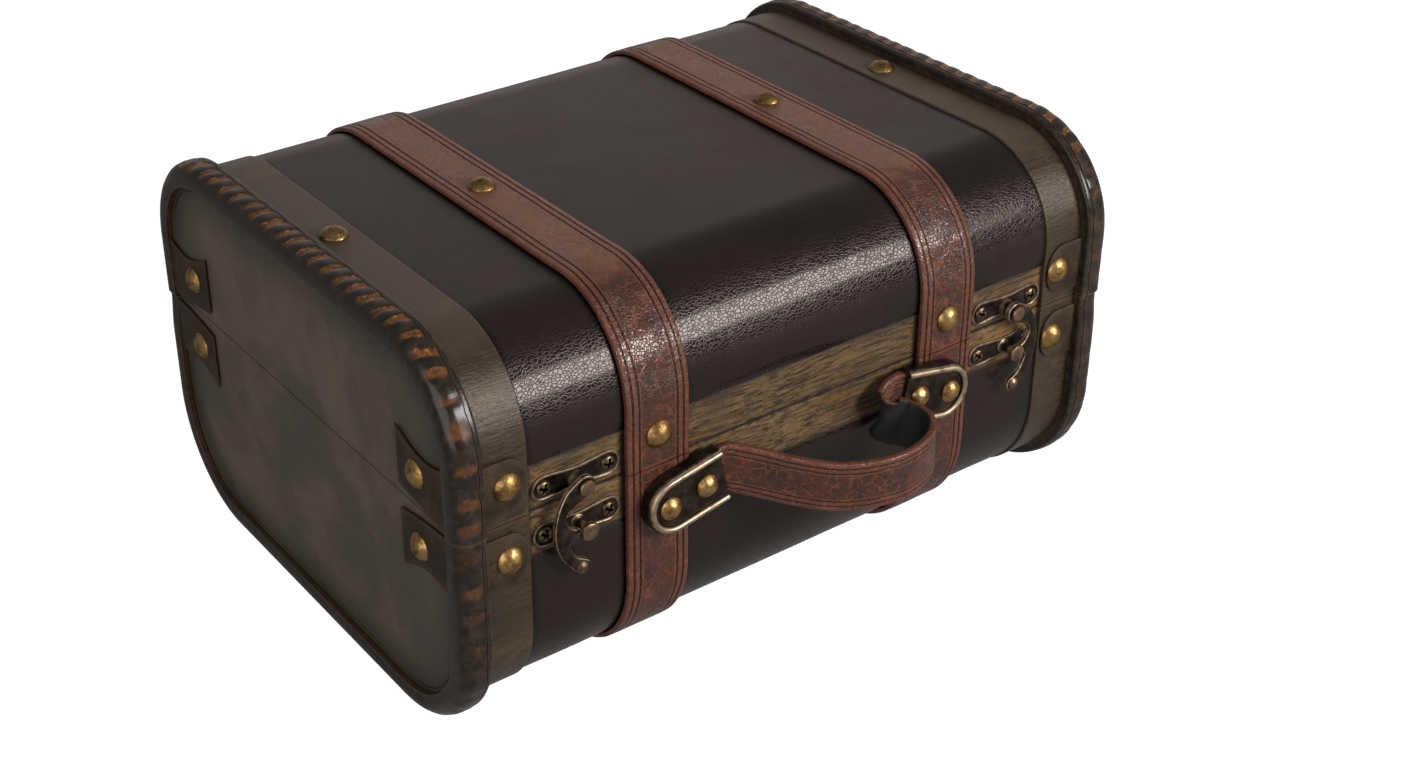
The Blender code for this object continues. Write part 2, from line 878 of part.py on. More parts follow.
def latch_hook(side, parent):
    """The swing hook: its eye is held by the lid's rivet and its nose bears on the post."""
    name = f"latch_hook_{side}"
    outline = hook_outline(side)
    piece = standing_plate(name, outline, hook_back, hook_thickness, "bronze", parent)
    round_bevel(piece, hook_edge)
    away, down = thumb_shares
    x = latch_x(side) + sides[side] * away * hook_reach
    place = (x, hook_front, pivot_level - down * hook_drop)
    profile = [(thumb_radius, -fused_depth)] + dome_profile(thumb_radius, thumb_height)
    matrix = Matrix.Translation(place) @ out_of_front
    fuse(piece, turned(f"thumb_{name}", profile, matrix, None, parent, small_round_sides))
    hole = pivot_radius + fit_gap
    profile = [(hole, -overrun), (hole, hook_thickness + overrun)]
    place = (latch_x(side), hook_back, pivot_level)
    matrix = Matrix.Translation(place) @ out_of_front
    cut(piece, turned(f"eye_{name}", profile, matrix, None, parent))
    return piece


# The slack handle, its end plates and rivets

handle_plate_level = seam_height - handle_plate_below_seam
handle_plate_middle = handle_plate_inner_end + handle_plate_length / 2
strap_back = -(strap_face + fit_gap)
handle_middle_y = strap_back - handle_thickness / 2
plate_cavity_top = strap_back - handle_thickness - fit_gap
plate_floor_front = plate_cavity_top - handle_plate_floor
plate_lip_front = plate_floor_front - handle_plate_lip
plate_round_centre = handle_plate_inner_end + handle_plate_length - handle_plate_width / 2

# The slack part of the handle: shares of the plates' inner end, of the reach and of the drop
handle_route_shares = [
    (-0.74, 0.19, -0.40),
    (-0.47, 0.50, 0.35),
    (-0.18, 0.78, 0.88),
    (0.16, 0.965, 1.0),
    (0.47, 1.0, 1.0),
    (0.76, 0.88, 1.0),
    (0.94, 0.66, 1.0),
    (0.985, 0.43, 0.95),
    (0.92, 0.245, 0.75),
    (0.84, 0.17, 0.45),
    (0.775, 0.095, 0.05),
    (0.84, 0.02, -0.35),
]


def plate_point(side, distance, across=0.0):
    """(x, z) of a point on the tilted plates, by its distance from the box's middle."""
    lean, rise = cos(handle_plate_tilt), sin(handle_plate_tilt)
    from_middle = distance - handle_plate_middle
    x = handle_plate_middle + from_middle * lean + across * rise
    return sides[side] * x, handle_plate_level - from_middle * rise + across * lean


def handle_stations():
    """Points along the handle's middle, with the half width of the leather there."""
    half = handle_width / 2
    end = []
    for i in range(handle_end_steps + 1):
        turn = handle_end_turn * (1 - i / handle_end_steps)
        end.append((plate_round_centre + half * sin(turn), half * cos(turn)))
    end.append((handle_plate_inner_end, half))
    end.append((handle_plate_inner_end - handle_straight, half))
    ends = {}
    for side in sides:
        ends[side] = []
        for distance, width in end:
            x, z = plate_point(side, distance)
            ends[side].append((Vector((x, handle_middle_y, z)), width))
    route = [point for point, _ in ends["left"][-2:]]
    for along, out, down in handle_route_shares:
        place = (
            along * handle_plate_inner_end,
            handle_middle_y - out * handle_reach,
            handle_plate_level - down * handle_drop,
        )
        route.append(Vector(place))
    route += [point for point, _ in ends["right"][:-3:-1]]
    curve = smooth_loop(route, handle_smooth_steps, closed=False)
    return ends["left"][:-2] + [(point, half) for point in curve] + ends["right"][-3::-1]


def handle_rings():
    """Sections of the handle, each square to the path and upright across it."""
    stations = handle_stations()
    rings = []
    deep, edge = handle_thickness / 2, handle_edge
    for i, (middle, half) in enumerate(stations):
        before = stations[max(i - 1, 0)][0]
        after = stations[min(i + 1, len(stations) - 1)][0]
        along = (after - before).normalized()
        out = Vector((along.y, -along.x, 0.0)).normalized()
        up = out.cross(along)
        corners = [
            (deep - edge, half),
            (deep, half - edge),
            (deep, edge - half),
            (deep - edge, -half),
            (edge - deep, -half),
            (-deep, edge - half),
            (-deep, half - edge),
            (edge - deep, half),
        ]
        rings.append([middle + out * a + up * b for a, b in corners])
    return rings


def least_handle_gap():
    """The least distance between parts of the handle that aren't neighbours, skin to skin."""
    points = [point for point, _ in handle_stations()]
    lengths = [0.0]
    for here, there in zip(points, points[1:]):
        lengths.append(lengths[-1] + (there - here).length)
    least = min(
        (points[i] - points[j]).length
        for i in range(len(points))
        for j in range(i)
        if lengths[i] - lengths[j] > 3 * handle_thickness
    )
    return least - handle_thickness


def handle_strap(parent):
    """The slack leather handle: both ends lie under plates, the middle bellies out and folds."""
    piece = loft("handle_strap", handle_rings(), "brown_strap", parent)
    for tag, place in rivet_places().items():
        drill(piece, place, out_of_front, rivet_shank_radius, rivet_reach(), tag)
    return piece


def plate_outline(side, inset, open_end):
    """A D shape on the tilt of the plates: round outwards, straight towards the handle."""
    radius = handle_plate_width / 2 - inset
    inner = handle_plate_inner_end - open_end
    turns = [pi / 2 - pi * i / (2 * lobe_steps) for i in range(2 * lobe_steps + 1)]
    outline = [(inner, radius)]
    outline += [(plate_round_centre + radius * cos(a), radius * sin(a)) for a in turns]
    outline.append((inner, -radius))
    return [plate_point(side, distance, across) for distance, across in outline]


def handle_plate(side, parent):
    """A bronze cap over the handle's end, with a raised lip round a sunk floor."""
    name = f"handle_plate_{side}"
    outline = plate_outline(side, 0.0, 0.0)
    piece = standing_plate(name, outline, strap_back, strap_back - plate_lip_front, "bronze", parent)
    inner = plate_outline(side, handle_plate_wall, overrun)
    depth = strap_back - plate_cavity_top + overrun
    cavity = standing_plate(f"cavity_{name}", inner, strap_back + overrun, depth, None, parent)
    cut(piece, cavity)
    depth = handle_plate_lip + overrun
    recess = standing_plate(f"recess_{name}", inner, plate_floor_front, depth, None, parent)
    cut(piece, recess)
    for tag, place in rivet_places().items():
        if side in tag:
            drill(piece, place, out_of_front, rivet_shank_radius, rivet_reach(), tag)
    return piece


def rivet_places():
    """Where the heads of the rivets sit: a little in front of the plates' sunk floors."""
    distances = {"outer": outer_rivet_from_middle, "inner": inner_rivet_from_middle}
    places = {}
    for side in sides:
        for tag, distance in distances.items():
            x, z = plate_point(side, distance)
            places[f"{side}_{tag}"] = (x, plate_floor_front - fit_gap, z)
    return places


def rivet_reach():
    return -wall_face - (plate_floor_front - fit_gap) + rivet_grip


def handle_rivet(tag, place, parent):
    """A domed brass rivet that passes through plate, handle and strap into the rail."""
    name = f"handle_rivet_{tag}"
    size = (rivet_radius, rivet_height, rivet_shank_radius, rivet_reach())
    return nail_head(name, place, out_of_front, *size, "brass", parent)


# Studs that hold the bands and straps


def skin_stud(name, place, turn, layers, parent):
    """A domed stud whose nail passes through the named layers."""
    size = (stud_radius, stud_height, nail_radius, nail_length)
    piece = nail_head(name, place, turn, *size, "brass", parent)
    for layer in layers:
        drill(layer, place, turn, nail_radius, nail_length, name)
    return piece


def front_reach():
    return -min(point.y for ring in handle_rings() for point in ring)


def back_reach():
    return half_depth + max(stud_height - tab_outer, 0.0)


group_places = {
    "suitcase": (0.0, 0.0, 0.0),
    "lid": (0.0, hinge_y, seam_height),
    "latch_hook_left_pivot": (latch_x("left"), hook_back, pivot_level),
    "latch_hook_right_pivot": (latch_x("right"), hook_back, pivot_level),
}


def make_half(part, parent):
    """Everything that the base and the lid have alike. Returns the pieces that take more holes."""
    wedge = relief_wedge(part, parent)
    rails = {face: rail(part, face, parent) for face in faces}
    wall, skin = shell(part, parent), cover(part, parent)
    lining(part, parent)
    bands, straps = {}, {}
    for side in sides:
        end_board(part, side, parent)
        bands[side] = band(part, side, parent)
        straps[side] = strap(part, side, parent)
        cut(straps[side], wedge)
        moulding = rim(part, side, parent)
        cut(moulding, wedge)
        for face in faces:
            tab(part, side, face, parent)
            cut(moulding, tab_room(part, side, face, parent))
    return rails, wall, skin, bands, straps


def make_base(parent):
    rails, _, _, _, straps = make_half("base", parent)
    for side in sides:
        latch_keeper(side, parent)
        leaf("base", side, parent)
        hinge_pin(side, parent)
        handle_plate(side, parent)
    handle_strap(parent)
    for tag, place in rivet_places().items():
        handle_rivet(tag, place, parent)
        drill(rails["front"], place, out_of_front, rivet_shank_radius, rivet_reach(), tag)
        if "outer" in tag:
            cut_strap = straps[tag.split("_")[0]]
            drill(cut_strap, place, out_of_front, rivet_shank_radius, rivet_reach(), tag)


def make_lid(parent):
    rails, wall, skin, bands, straps = make_half("lid", parent)
    for side, sign in sides.items():
        latch_plate(side, parent)
        leaf("lid", side, parent)
        x = from_end(side, stud_from_end)
        place = (x, 0.0, box_height - band_outer + fit_gap)
        skin_stud(f"band_stud_{side}", place, out_of_top, (bands[side], wall), parent)
        place = (sign * strap_from_middle, 0.0, box_height - strap_outer + fit_gap)
        layers = (straps[side], skin, wall)
        skin_stud(f"strap_stud_top_{side}", place, out_of_top, layers, parent)
        level = seam_height + strap_stud_from_seam
        place = (sign * strap_from_middle, -strap_face - fit_gap, level)
        layers = (straps[side], rails["front"])
        skin_stud(f"strap_stud_front_{side}", place, out_of_front, layers, parent)


def make_suitcase():
    shift = (front_reach() - back_reach()) / 2
    whole = group("suitcase", (0.0, shift, 0.0))
    lid = group("lid", group_places["lid"], whole)
    make_base(whole)
    make_lid(lid)
    for side in sides:
        name = f"latch_hook_{side}_pivot"
        latch_hook(side, group(name, group_places[name], whole))
    print(f"shift along Y {shift * 1000:.4f} mm")
    print(f"least gap of the handle to itself {least_handle_gap() * 1000:.2f} mm")


clear_scene()
make_suitcase()
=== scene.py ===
import json
from functools import partial
from math import asin, cos, pi, radians, sin, sqrt

import bmesh
import bpy
import numpy as np
from mathutils import Matrix, Vector, noise


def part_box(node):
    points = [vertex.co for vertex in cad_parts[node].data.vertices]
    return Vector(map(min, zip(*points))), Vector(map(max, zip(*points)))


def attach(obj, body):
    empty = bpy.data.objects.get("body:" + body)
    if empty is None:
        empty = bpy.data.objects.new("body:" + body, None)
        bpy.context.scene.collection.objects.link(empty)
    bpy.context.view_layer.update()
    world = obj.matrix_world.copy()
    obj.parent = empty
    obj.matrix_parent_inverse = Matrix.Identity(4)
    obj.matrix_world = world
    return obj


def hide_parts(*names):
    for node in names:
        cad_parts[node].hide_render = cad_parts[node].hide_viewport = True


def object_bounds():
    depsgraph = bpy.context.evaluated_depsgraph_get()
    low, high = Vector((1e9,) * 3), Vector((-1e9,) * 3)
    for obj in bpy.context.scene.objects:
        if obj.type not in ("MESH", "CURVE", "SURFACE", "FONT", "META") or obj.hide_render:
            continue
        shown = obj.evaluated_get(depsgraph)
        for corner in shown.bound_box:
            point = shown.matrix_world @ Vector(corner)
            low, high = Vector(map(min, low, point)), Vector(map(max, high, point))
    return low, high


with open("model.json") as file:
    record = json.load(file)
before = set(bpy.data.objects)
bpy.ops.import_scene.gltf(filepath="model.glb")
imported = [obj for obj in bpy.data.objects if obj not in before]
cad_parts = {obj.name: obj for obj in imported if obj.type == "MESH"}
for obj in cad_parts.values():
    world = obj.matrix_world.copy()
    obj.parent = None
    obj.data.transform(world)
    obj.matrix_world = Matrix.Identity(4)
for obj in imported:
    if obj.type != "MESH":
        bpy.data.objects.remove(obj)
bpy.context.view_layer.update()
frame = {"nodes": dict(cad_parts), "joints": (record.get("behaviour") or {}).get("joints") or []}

mm = 0.001

# The mouldings give the outline of the box, its middle and its seam
rimLow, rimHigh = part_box("base_rim_left")
lidLow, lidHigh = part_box("lid_rim_right")
suitcase = {
    "halfLength": lidHigh.x,
    "halfDepth": (rimHigh.y - rimLow.y) / 2,
    "middleY": (rimHigh.y + rimLow.y) / 2,
    "seam": (rimHigh.z + lidLow.z) / 2,
    "height": lidHigh.z,
    "seamGap": lidLow.z - rimHigh.z,
    "cornerRadius": {"base": 42 * mm, "lid": 38 * mm},
    "railHeight": {"base": 17.2 * mm, "lid": 16.5 * mm},
    "strapMiddle": 60.5 * mm,
    "strapWidth": 24.0 * mm,
    "bandEnd": 27.3 * mm,
}
ups = {"base": -1, "lid": 1}
sides = {"left": -1, "right": 1}
faces = {"front": -1, "back": 1}
joints = {joint["name"]: joint["pos_m"] for joint in frame["joints"]}


# Colours are written as paint chart values, 0 to 255 a channel
def tint(red, green, blue):
    channels = [c / 255 for c in (red, green, blue)]
    return tuple(c / 12.92 if c <= 0.04045 else ((c + 0.055) / 1.055) ** 2.4 for c in channels) + (1.0,)


def smoothStep(low, high, value):
    share = min(max((value - low) / (high - low), 0.0), 1.0)
    return share * share * (3 - 2 * share)


def wander(seed, place, size):
    return noise.noise(Vector((place / size, seed * 7.31, seed * 2.17)))


# Camera: the angle, distance and lens worked out from the outline in the photograph
view = {
    "width": 1409,
    "height": 771,
    "azimuth": -0.61959,
    "elevation": 0.50388,
    "roll": -0.009,
    "distance": 0.74138,
    "focalPixels": 2051.66,
    "centreX": 631.73,
    "centreY": 306.42,
    "sensor": 36.0,
    "aim": Vector((0.0, suitcase["middleY"], 75 * mm)),
}


def addToScene(name, data):
    made = bpy.data.objects.new(name, data)
    bpy.context.scene.collection.objects.link(made)
    return made


def makeCamera():
    azimuth, elevation, roll, width = view["azimuth"], view["elevation"], view["roll"], view["width"]
    back = Vector((sin(azimuth) * cos(elevation), -cos(azimuth) * cos(elevation), sin(elevation)))
    right = Vector((cos(azimuth), sin(azimuth), 0.0))
    up = back.cross(right)
    turn = Matrix((right * cos(roll) + up * sin(roll), up * cos(roll) - right * sin(roll), back))
    data = bpy.data.cameras.new("productCamera")
    data.sensor_width = view["sensor"]
    data.lens = view["focalPixels"] * view["sensor"] / width
    data.shift_x = (width / 2 - view["centreX"]) / width
    data.shift_y = (view["centreY"] - view["height"] / 2) / width
    camera = addToScene("productCamera", data)
    camera.matrix_world = Matrix.Translation(view["aim"] + back * view["distance"]) @ turn.transposed().to_4x4()
    bpy.context.scene.camera = camera


# Shader tools: a value is a number, a colour or a socket, and a new node joins the tree of the sockets it is given
def isSocket(value):
    return isinstance(value, bpy.types.NodeSocket)


def feed(socket, value):
    if isSocket(value):
        socket.id_data.links.new(value, socket)
    else:
        socket.default_value = value


def put(kind, inputs, tree=None, **settings):
    tree = tree or next(value for value in inputs.values() if isSocket(value)).id_data
    made = tree.nodes.new(kind)
    for key, value in settings.items():
        setattr(made, key, value)
    for key, value in inputs.items():
        feed(made.inputs[key], value)
    return made


def sums(operation, *values):
    return put("ShaderNodeMath", dict(enumerate(values)), operation=operation).outputs[0]


operations = ("MULTIPLY", "MULTIPLY_ADD", "ADD", "SUBTRACT", "MAXIMUM", "ABSOLUTE")
times, timesPlus, plus, minus, larger, absolute = (partial(sums, operation) for operation in operations)


def ramp(value, low, high, start=0.0, end=1.0):
    inputs = {"Value": value, "From Min": low, "From Max": high, "To Min": start, "To Max": end}
    return put("ShaderNodeMapRange", inputs, interpolation_type="SMOOTHSTEP").outputs["Result"]


def mixed(share, below, above):
    return put("ShaderNodeMix", {0: share, 6: below, 7: above}, data_type="RGBA").outputs[2]


# Coats of colour laid over each other, each with the share that it covers
def layered(colour, *coats):
    for share, coat in coats:
        colour = mixed(share, colour, coat)
    return colour


def vectors(operation, inputs):
    return put("ShaderNodeVectorMath", inputs, operation=operation).outputs[0]


def stretched(vector, scale):
    return vectors("MULTIPLY", {0: vector, 1: scale})


def speckle(vector, scale, detail=4.0, roughness=0.55, distortion=0.0, output="Fac"):
    inputs = {"Vector": vector, "Scale": scale, "Detail": detail, "Roughness": roughness, "Distortion": distortion}
    return put("ShaderNodeTexNoise", inputs).outputs[output]


def drifted(vector, place, scale, detail, reach):
    drift = vectors("SCALE", {0: speckle(place, scale, detail, 0.5, output="Color"), "Scale": reach})
    return vectors("ADD", {0: vector, 1: drift})


def cellEdges(vector, scale):
    made = put("ShaderNodeTexVoronoi", {"Vector": vector, "Scale": scale}, feature="DISTANCE_TO_EDGE")
    return made.outputs["Distance"]


def axis(place, letter):
    return put("ShaderNodeSeparateXYZ", {0: place}).outputs[letter]


# A number that the mesh itself carries at each point
def meshValue(place, label):
    return put("ShaderNodeAttribute", {}, place.id_data, attribute_name=label).outputs["Fac"]


# Effects that several finishes share. Each function below becomes a node group of its name and inputs
def nodeGroup(**inputs):
    def build(effect):
        group = bpy.data.node_groups.new(effect.__name__, "ShaderNodeTree")
        for label, value in {"Place": (0.0, 0.0, 0.0), **inputs}.items():
            kind = "NodeSocketVector" if isinstance(value, tuple) else "NodeSocketFloat"
            group.interface.new_socket(label, in_out="INPUT", socket_type=kind).default_value = value
        made = effect(group.nodes.new("NodeGroupInput").outputs)
        for label in made:
            group.interface.new_socket(label, in_out="OUTPUT", socket_type="NodeSocketFloat")
        end = group.nodes.new("NodeGroupOutput")
        for label, value in made.items():
            feed(end.inputs[label], value)
        return group
    return build


def useGroup(group, place, **inputs):
    return put("ShaderNodeGroup", {"Place": place, **inputs}, node_tree=group).outputs


def maskOf(group, place, **inputs):
    return useGroup(group, place, **inputs)["Mask"]


# Leather: pebbles with soft gaps between them, folds, long creases and a fine crackle
@nodeGroup(Pebble=900.0, Wrinkle=120.0, Folds=0.5, Creases=0.5)
def leatherGrain(given):
    place, pebble, wrinkle = given["Place"], given["Pebble"], given["Wrinkle"]
    bent = drifted(place, place, wrinkle, 3.0, 2.2 * mm)
    cells = cellEdges(bent, pebble)
    ridges = absolute(minus(speckle(bent, wrinkle, 5.0, 0.62, 0.4), 0.5))
    crease = times(minus(1.0, ramp(ridges, 0.0, 0.036)), ramp(speckle(place, 70.0, 3.0), 0.38, 0.54))
    crackle = minus(1.0, ramp(cellEdges(bent, wrinkle), 0.0, 0.065))
    crackle = times(crackle, ramp(speckle(place, 240.0, 4.0, 0.6), 0.40, 0.56))
    height = timesPlus(ramp(cells, 0.0, 0.16), 0.45, times(speckle(bent, pebble, 3.0), 0.07))
    height = timesPlus(speckle(bent, wrinkle, 5.0, 0.6, 0.8), given["Folds"], height)
    deep = times(timesPlus(crackle, 0.5, crease), given["Creases"])
    gaps = minus(1.0, ramp(cells, 0.03, 0.15))
    return {"Height": minus(height, deep), "Crease": crease, "Gaps": gaps, "Crackle": crackle}


# Wood: long streaks along one direction, dark flecks in the pores, and cloudy stain
@nodeGroup(Along=(0.06, 1.0, 1.0), Fineness=900.0)
def woodGrain(given):
    place, fineness = given["Place"], given["Fineness"]
    bent = drifted(stretched(place, given["Along"]), place, 22.0, 2.0, 6 * mm)
    coarse = speckle(bent, times(fineness, 0.28), 3.0, 0.5)
    streaks = timesPlus(coarse, 0.5, times(speckle(bent, fineness, 6.0, 0.65), 0.5))
    dots = speckle(stretched(place, (0.35, 1.0, 1.0)), times(fineness, 1.1), 3.0, 0.75)
    return {"Streaks": streaks, "Flecks": ramp(dots, 0.56, 0.66), "Clouds": speckle(place, 26.0, 4.0, 0.6, 0.4)}


# Wear: the raised edges that hands rub, broken up so that no line is even
@nodeGroup(Edge=0.0, Start=0.25, Patches=260.0)
def edgeWear(given):
    patches = speckle(given["Place"], given["Patches"], 4.0, 0.6)
    pushed = timesPlus(minus(patches, 0.5), 0.9, given["Edge"])
    return {"Mask": ramp(pushed, given["Start"], plus(given["Start"], 0.35))}


# Dust and fading on the lid's top, where the Z of the place is highest
@nodeGroup(Low=134 * mm, High=141 * mm)
def topDust(given):
    broken = timesPlus(speckle(given["Place"], 130.0, 4.0, 0.6), 5 * mm, axis(given["Place"], "Z"))
    return {"Mask": ramp(broken, given["Low"], given["High"])}


# A mask right beside the straps and the bands, 1 at their edge and 0 at the reach. The cover and the rails lay a
# painted contact shadow with it, and the rails their gold tint too
@nodeGroup(Reach=2.4 * mm)
def besideStraps(given):
    across = absolute(axis(given["Place"], "X"))
    strapAway = minus(absolute(minus(across, suitcase["strapMiddle"])), suitcase["strapWidth"] / 2)
    bandAway = minus(suitcase["halfLength"] - suitcase["bandEnd"], across)
    broken = times(minus(speckle(given["Place"], 260.0), 0.5), 2.0 * mm)
    away = plus(sums("MINIMUM", strapAway, bandAway), broken)
    return {"Mask": ramp(away, 0.3 * mm, given["Reach"], 1.0, 0.0)}


def worn(place, start, patches):
    return maskOf(edgeWear, place, Edge=meshValue(place, "edge"), Start=start, Patches=patches)


def newMaterial(name):
    material = bpy.data.materials.new(name)
    material.use_nodes = True
    return material, material.node_tree, material.node_tree.nodes["Principled BSDF"]


def newFinish(name):
    material, tree, shader = newMaterial(name)
    return material, put("ShaderNodeTexCoord", {}, tree).outputs["Object"]


# The last step of each finish. Its look gives the relief (strength, depth) and any constant of the shader
shaderNames = {
    "gloss": "Specular IOR Level",
    "glossTint": "Specular Tint",
    "metal": "Metallic",
    "sheen": "Sheen Weight",
}


def finished(material, look, colour, roughness, height):
    shader = material.node_tree.nodes["Principled BSDF"]
    strength, depth = look["relief"]
    relief = put("ShaderNodeBump", {"Height": height, "Strength": strength, "Distance": depth})
    feed(shader.inputs["Base Color"], colour)
    feed(shader.inputs["Roughness"], roughness)
    feed(shader.inputs["Normal"], relief.outputs["Normal"])
    for key in look.keys() & shaderNames.keys():
        shader.inputs[shaderNames[key]].default_value = look[key]
    return material


# Finishes: a share is how much of a coat is laid on where its mask is full
boardLook = {
    "dark": tint(82, 75, 68),
    "light": tint(112, 101, 89),
    "streaks": tint(104, 90, 74),
    "flecks": tint(24, 21, 18),
    "grime": tint(30, 27, 24),
    "streakShare": 0.35,
    "fleckShare": 0.25,
    "grimeShare": 0.5,
    "roughness": (0.40, 0.56),
    "relief": (0.25, 0.3 * mm),
    "gloss": 0.3,
}


def makeBoardFinish(look=boardLook):
    material, place = newFinish("darkBoard")
    grain = useGroup(woodGrain, place, Along=(1.0, 0.07, 1.0), Fineness=700.0)
    # Painted shade: a dark band along the moulding, from the mesh's near value, broken up by the cloudy stain
    grime = timesPlus(grain["Clouds"], 0.6, meshValue(place, "near"))
    colour = layered(
        look["dark"],
        (ramp(grain["Clouds"], 0.38, 0.66), look["light"]),
        (ramp(grain["Streaks"], 0.35, 0.75, 0.0, look["streakShare"]), look["streaks"]),
        (times(grain["Flecks"], look["fleckShare"]), look["flecks"]),
        (ramp(grime, 0.55, 1.35, 0.0, look["grimeShare"]), look["grime"]),
    )
    roughness = ramp(grain["Clouds"], 0.3, 0.7, *look["roughness"])
    return finished(material, look, colour, roughness, grain["Streaks"])


railLook = {
    "dark": tint(38, 28, 17),
    "light": tint(136, 109, 72),
    "stain": tint(74, 56, 36),
    "gold": tint(166, 120, 60),
    "grime": tint(26, 19, 13),
    "shadow": tint(14, 11, 9),
    "goldShare": 0.6,
    "goldReach": 9 * mm,
    "lidShade": 0.22,
    "speckShare": 0.9,
    "fleckShare": 0.8,
    "edgeShare": 0.9,
    "shadowShare": 0.85,
    "roughness": (0.42, 0.60),
    "relief": (0.6, 0.25 * mm),
}


def makeRailFinish(look=railLook):
    material, place = newFinish("goldenRail")
    grain = useGroup(woodGrain, place, Along=(0.09, 1.0, 1.0), Fineness=4600.0)
    streaks, flecks, seam = grain["Streaks"], grain["Flecks"], suitcase["seam"]
    gold = ramp(speckle(place, 34.0, 4.0, 0.65, 0.5), 0.54, 0.70, 0.0, look["goldShare"])
    ends = maskOf(besideStraps, place, Reach=look["goldReach"])
    ends = times(ends, ramp(streaks, 0.44, 0.60, 0.0, look["goldShare"]))
    specks = speckle(stretched(place, (0.5, 1.0, 1.0)), 800.0, 3.0, 0.6)
    grimy = worn(place, 0.35, 420.0)
    beside = larger(meshValue(place, "near"), maskOf(besideStraps, place))
    colour = layered(
        look["dark"],
        (ramp(streaks, 0.38, 0.60), look["light"]),
        (ramp(grain["Clouds"], 0.42, 0.66, 0.0, 0.6), look["stain"]),
        (larger(gold, ends), look["gold"]),
        (ramp(axis(place, "Z"), seam - 1 * mm, seam + 1 * mm, 0.0, look["lidShade"]), look["grime"]),
        (ramp(specks, 0.63, 0.70, 0.0, look["speckShare"]), look["grime"]),
        (times(flecks, look["fleckShare"]), look["grime"]),
        (times(grimy, look["edgeShare"]), look["grime"]),
        (times(beside, look["shadowShare"]), look["shadow"]),
    )
    low, high = look["roughness"]
    roughness = timesPlus(grimy, 1.0 - high, ramp(streaks, 0.3, 0.7, low, high))
    return finished(material, look, colour, roughness, minus(streaks, times(flecks, 0.6)))


bandLook = {
    "dark": tint(40, 32, 25),
    "light": tint(78, 63, 48),
    "clouds": tint(56, 46, 37),
    "olive": tint(96, 79, 48),
    "rubbed": tint(104, 82, 56),
    "dusty": tint(104, 88, 72),
    "cloudShare": 0.7,
    "oliveShare": 0.6,
    "rubbedShare": 0.3,
    "dustShare": 0.4,
    "dustRoughness": 0.16,
    "roughness": (0.20, 0.36),
    "relief": (0.85, 0.22 * mm),
    "glossTint": (1.0, 0.88, 0.78, 1.0),
}


def makeBandFinish(look=bandLook):
    material, place = newFinish("brushedBand")
    grain = useGroup(woodGrain, place, Along=(0.08, 1.0, 1.0), Fineness=5600.0)
    dust = maskOf(topDust, place)
    colour = layered(
        look["dark"],
        (ramp(grain["Streaks"], 0.36, 0.66), look["light"]),
        (ramp(grain["Clouds"], 0.42, 0.62, 0.0, look["cloudShare"]), look["clouds"]),
        (ramp(speckle(place, 40.0, 4.0, 0.6, 0.4), 0.54, 0.70, 0.0, look["oliveShare"]), look["olive"]),
        (times(worn(place, 0.4, 500.0), look["rubbedShare"]), look["rubbed"]),
        (times(dust, look["dustShare"]), look["dusty"]),
    )
    roughness = timesPlus(dust, look["dustRoughness"], ramp(grain["Streaks"], 0.3, 0.7, *look["roughness"]))
    return finished(material, look, colour, roughness, grain["Streaks"])


# The moulding is ribbed: gilt lines between dark ribs along the lid's top, dim rusty patches down its fronts.
# Its mesh carries the ribs (1 between two ribs), the crown, the height and how strong the colour still is
rimValues = ("rib", "crown", "top", "strength")
rimLook = {
    "gilt": tint(186, 128, 66),
    "amber": tint(142, 90, 42),
    "rust": tint(98, 58, 38),
    "dark": tint(34, 28, 23),
    "brown": tint(58, 47, 37),
    "rubbed": tint(112, 84, 56),
    "rubbedShare": 0.35,
    "dustRoughness": 0.2,
    "roughness": (0.15, 0.28),
    "relief": (0.4, 0.5 * mm),
    "gloss": 0.4,
}


def makeRimFinish(look=rimLook):
    material, place = newFinish("burntRim")
    rib, crown, top, strength = (meshValue(place, label) for label in rimValues)
    ragged = speckle(place, 260.0, 6.0, 0.68)
    torn = timesPlus(minus(ragged, 0.5), 1.5, rib)
    patches = times(ramp(torn, 0.25, 0.95), strength)
    warm = mixed(ramp(speckle(place, 420.0, 3.0), 0.40, 0.66), look["rust"], look["amber"])
    fringe = times(ramp(torn, 0.36, 0.50), ramp(torn, 0.62, 0.85, 1.0, 0.2))
    flakes = ramp(speckle(place, 900.0, 4.0, 0.7), 0.44, 0.58)
    gilt = mixed(ramp(speckle(place, 500.0, 3.0), 0.42, 0.62), look["amber"], look["gilt"])
    colour = layered(
        look["dark"],
        (ramp(ragged, 0.40, 0.68), look["brown"]),
        (times(patches, crown), warm),
        (times(times(fringe, flakes), times(crown, top)), gilt),
        (times(worn(place, 0.4, 400.0), look["rubbedShare"]), look["rubbed"]),
    )
    roughness = ramp(ragged, 0.3, 0.7, *look["roughness"])
    roughness = timesPlus(maskOf(topDust, place), look["dustRoughness"], roughness)
    return finished(material, look, colour, roughness, timesPlus(times(torn, crown), -0.4, times(ragged, 0.5)))


coverLook = {
    "deep": tint(24, 17, 15),
    "dusty": tint(32, 22, 20),
    "shadow": tint(6, 5, 5),
    "shadowReach": 3 * mm,
    "roughness": (0.10, 0.14),
    "gapRoughness": 0.4,
    "dustRoughness": 0.26,
    "relief": (0.24, 0.3 * mm),
    "gloss": 0.42,
    "glossTint": (1.0, 0.87, 0.83, 1.0),
}


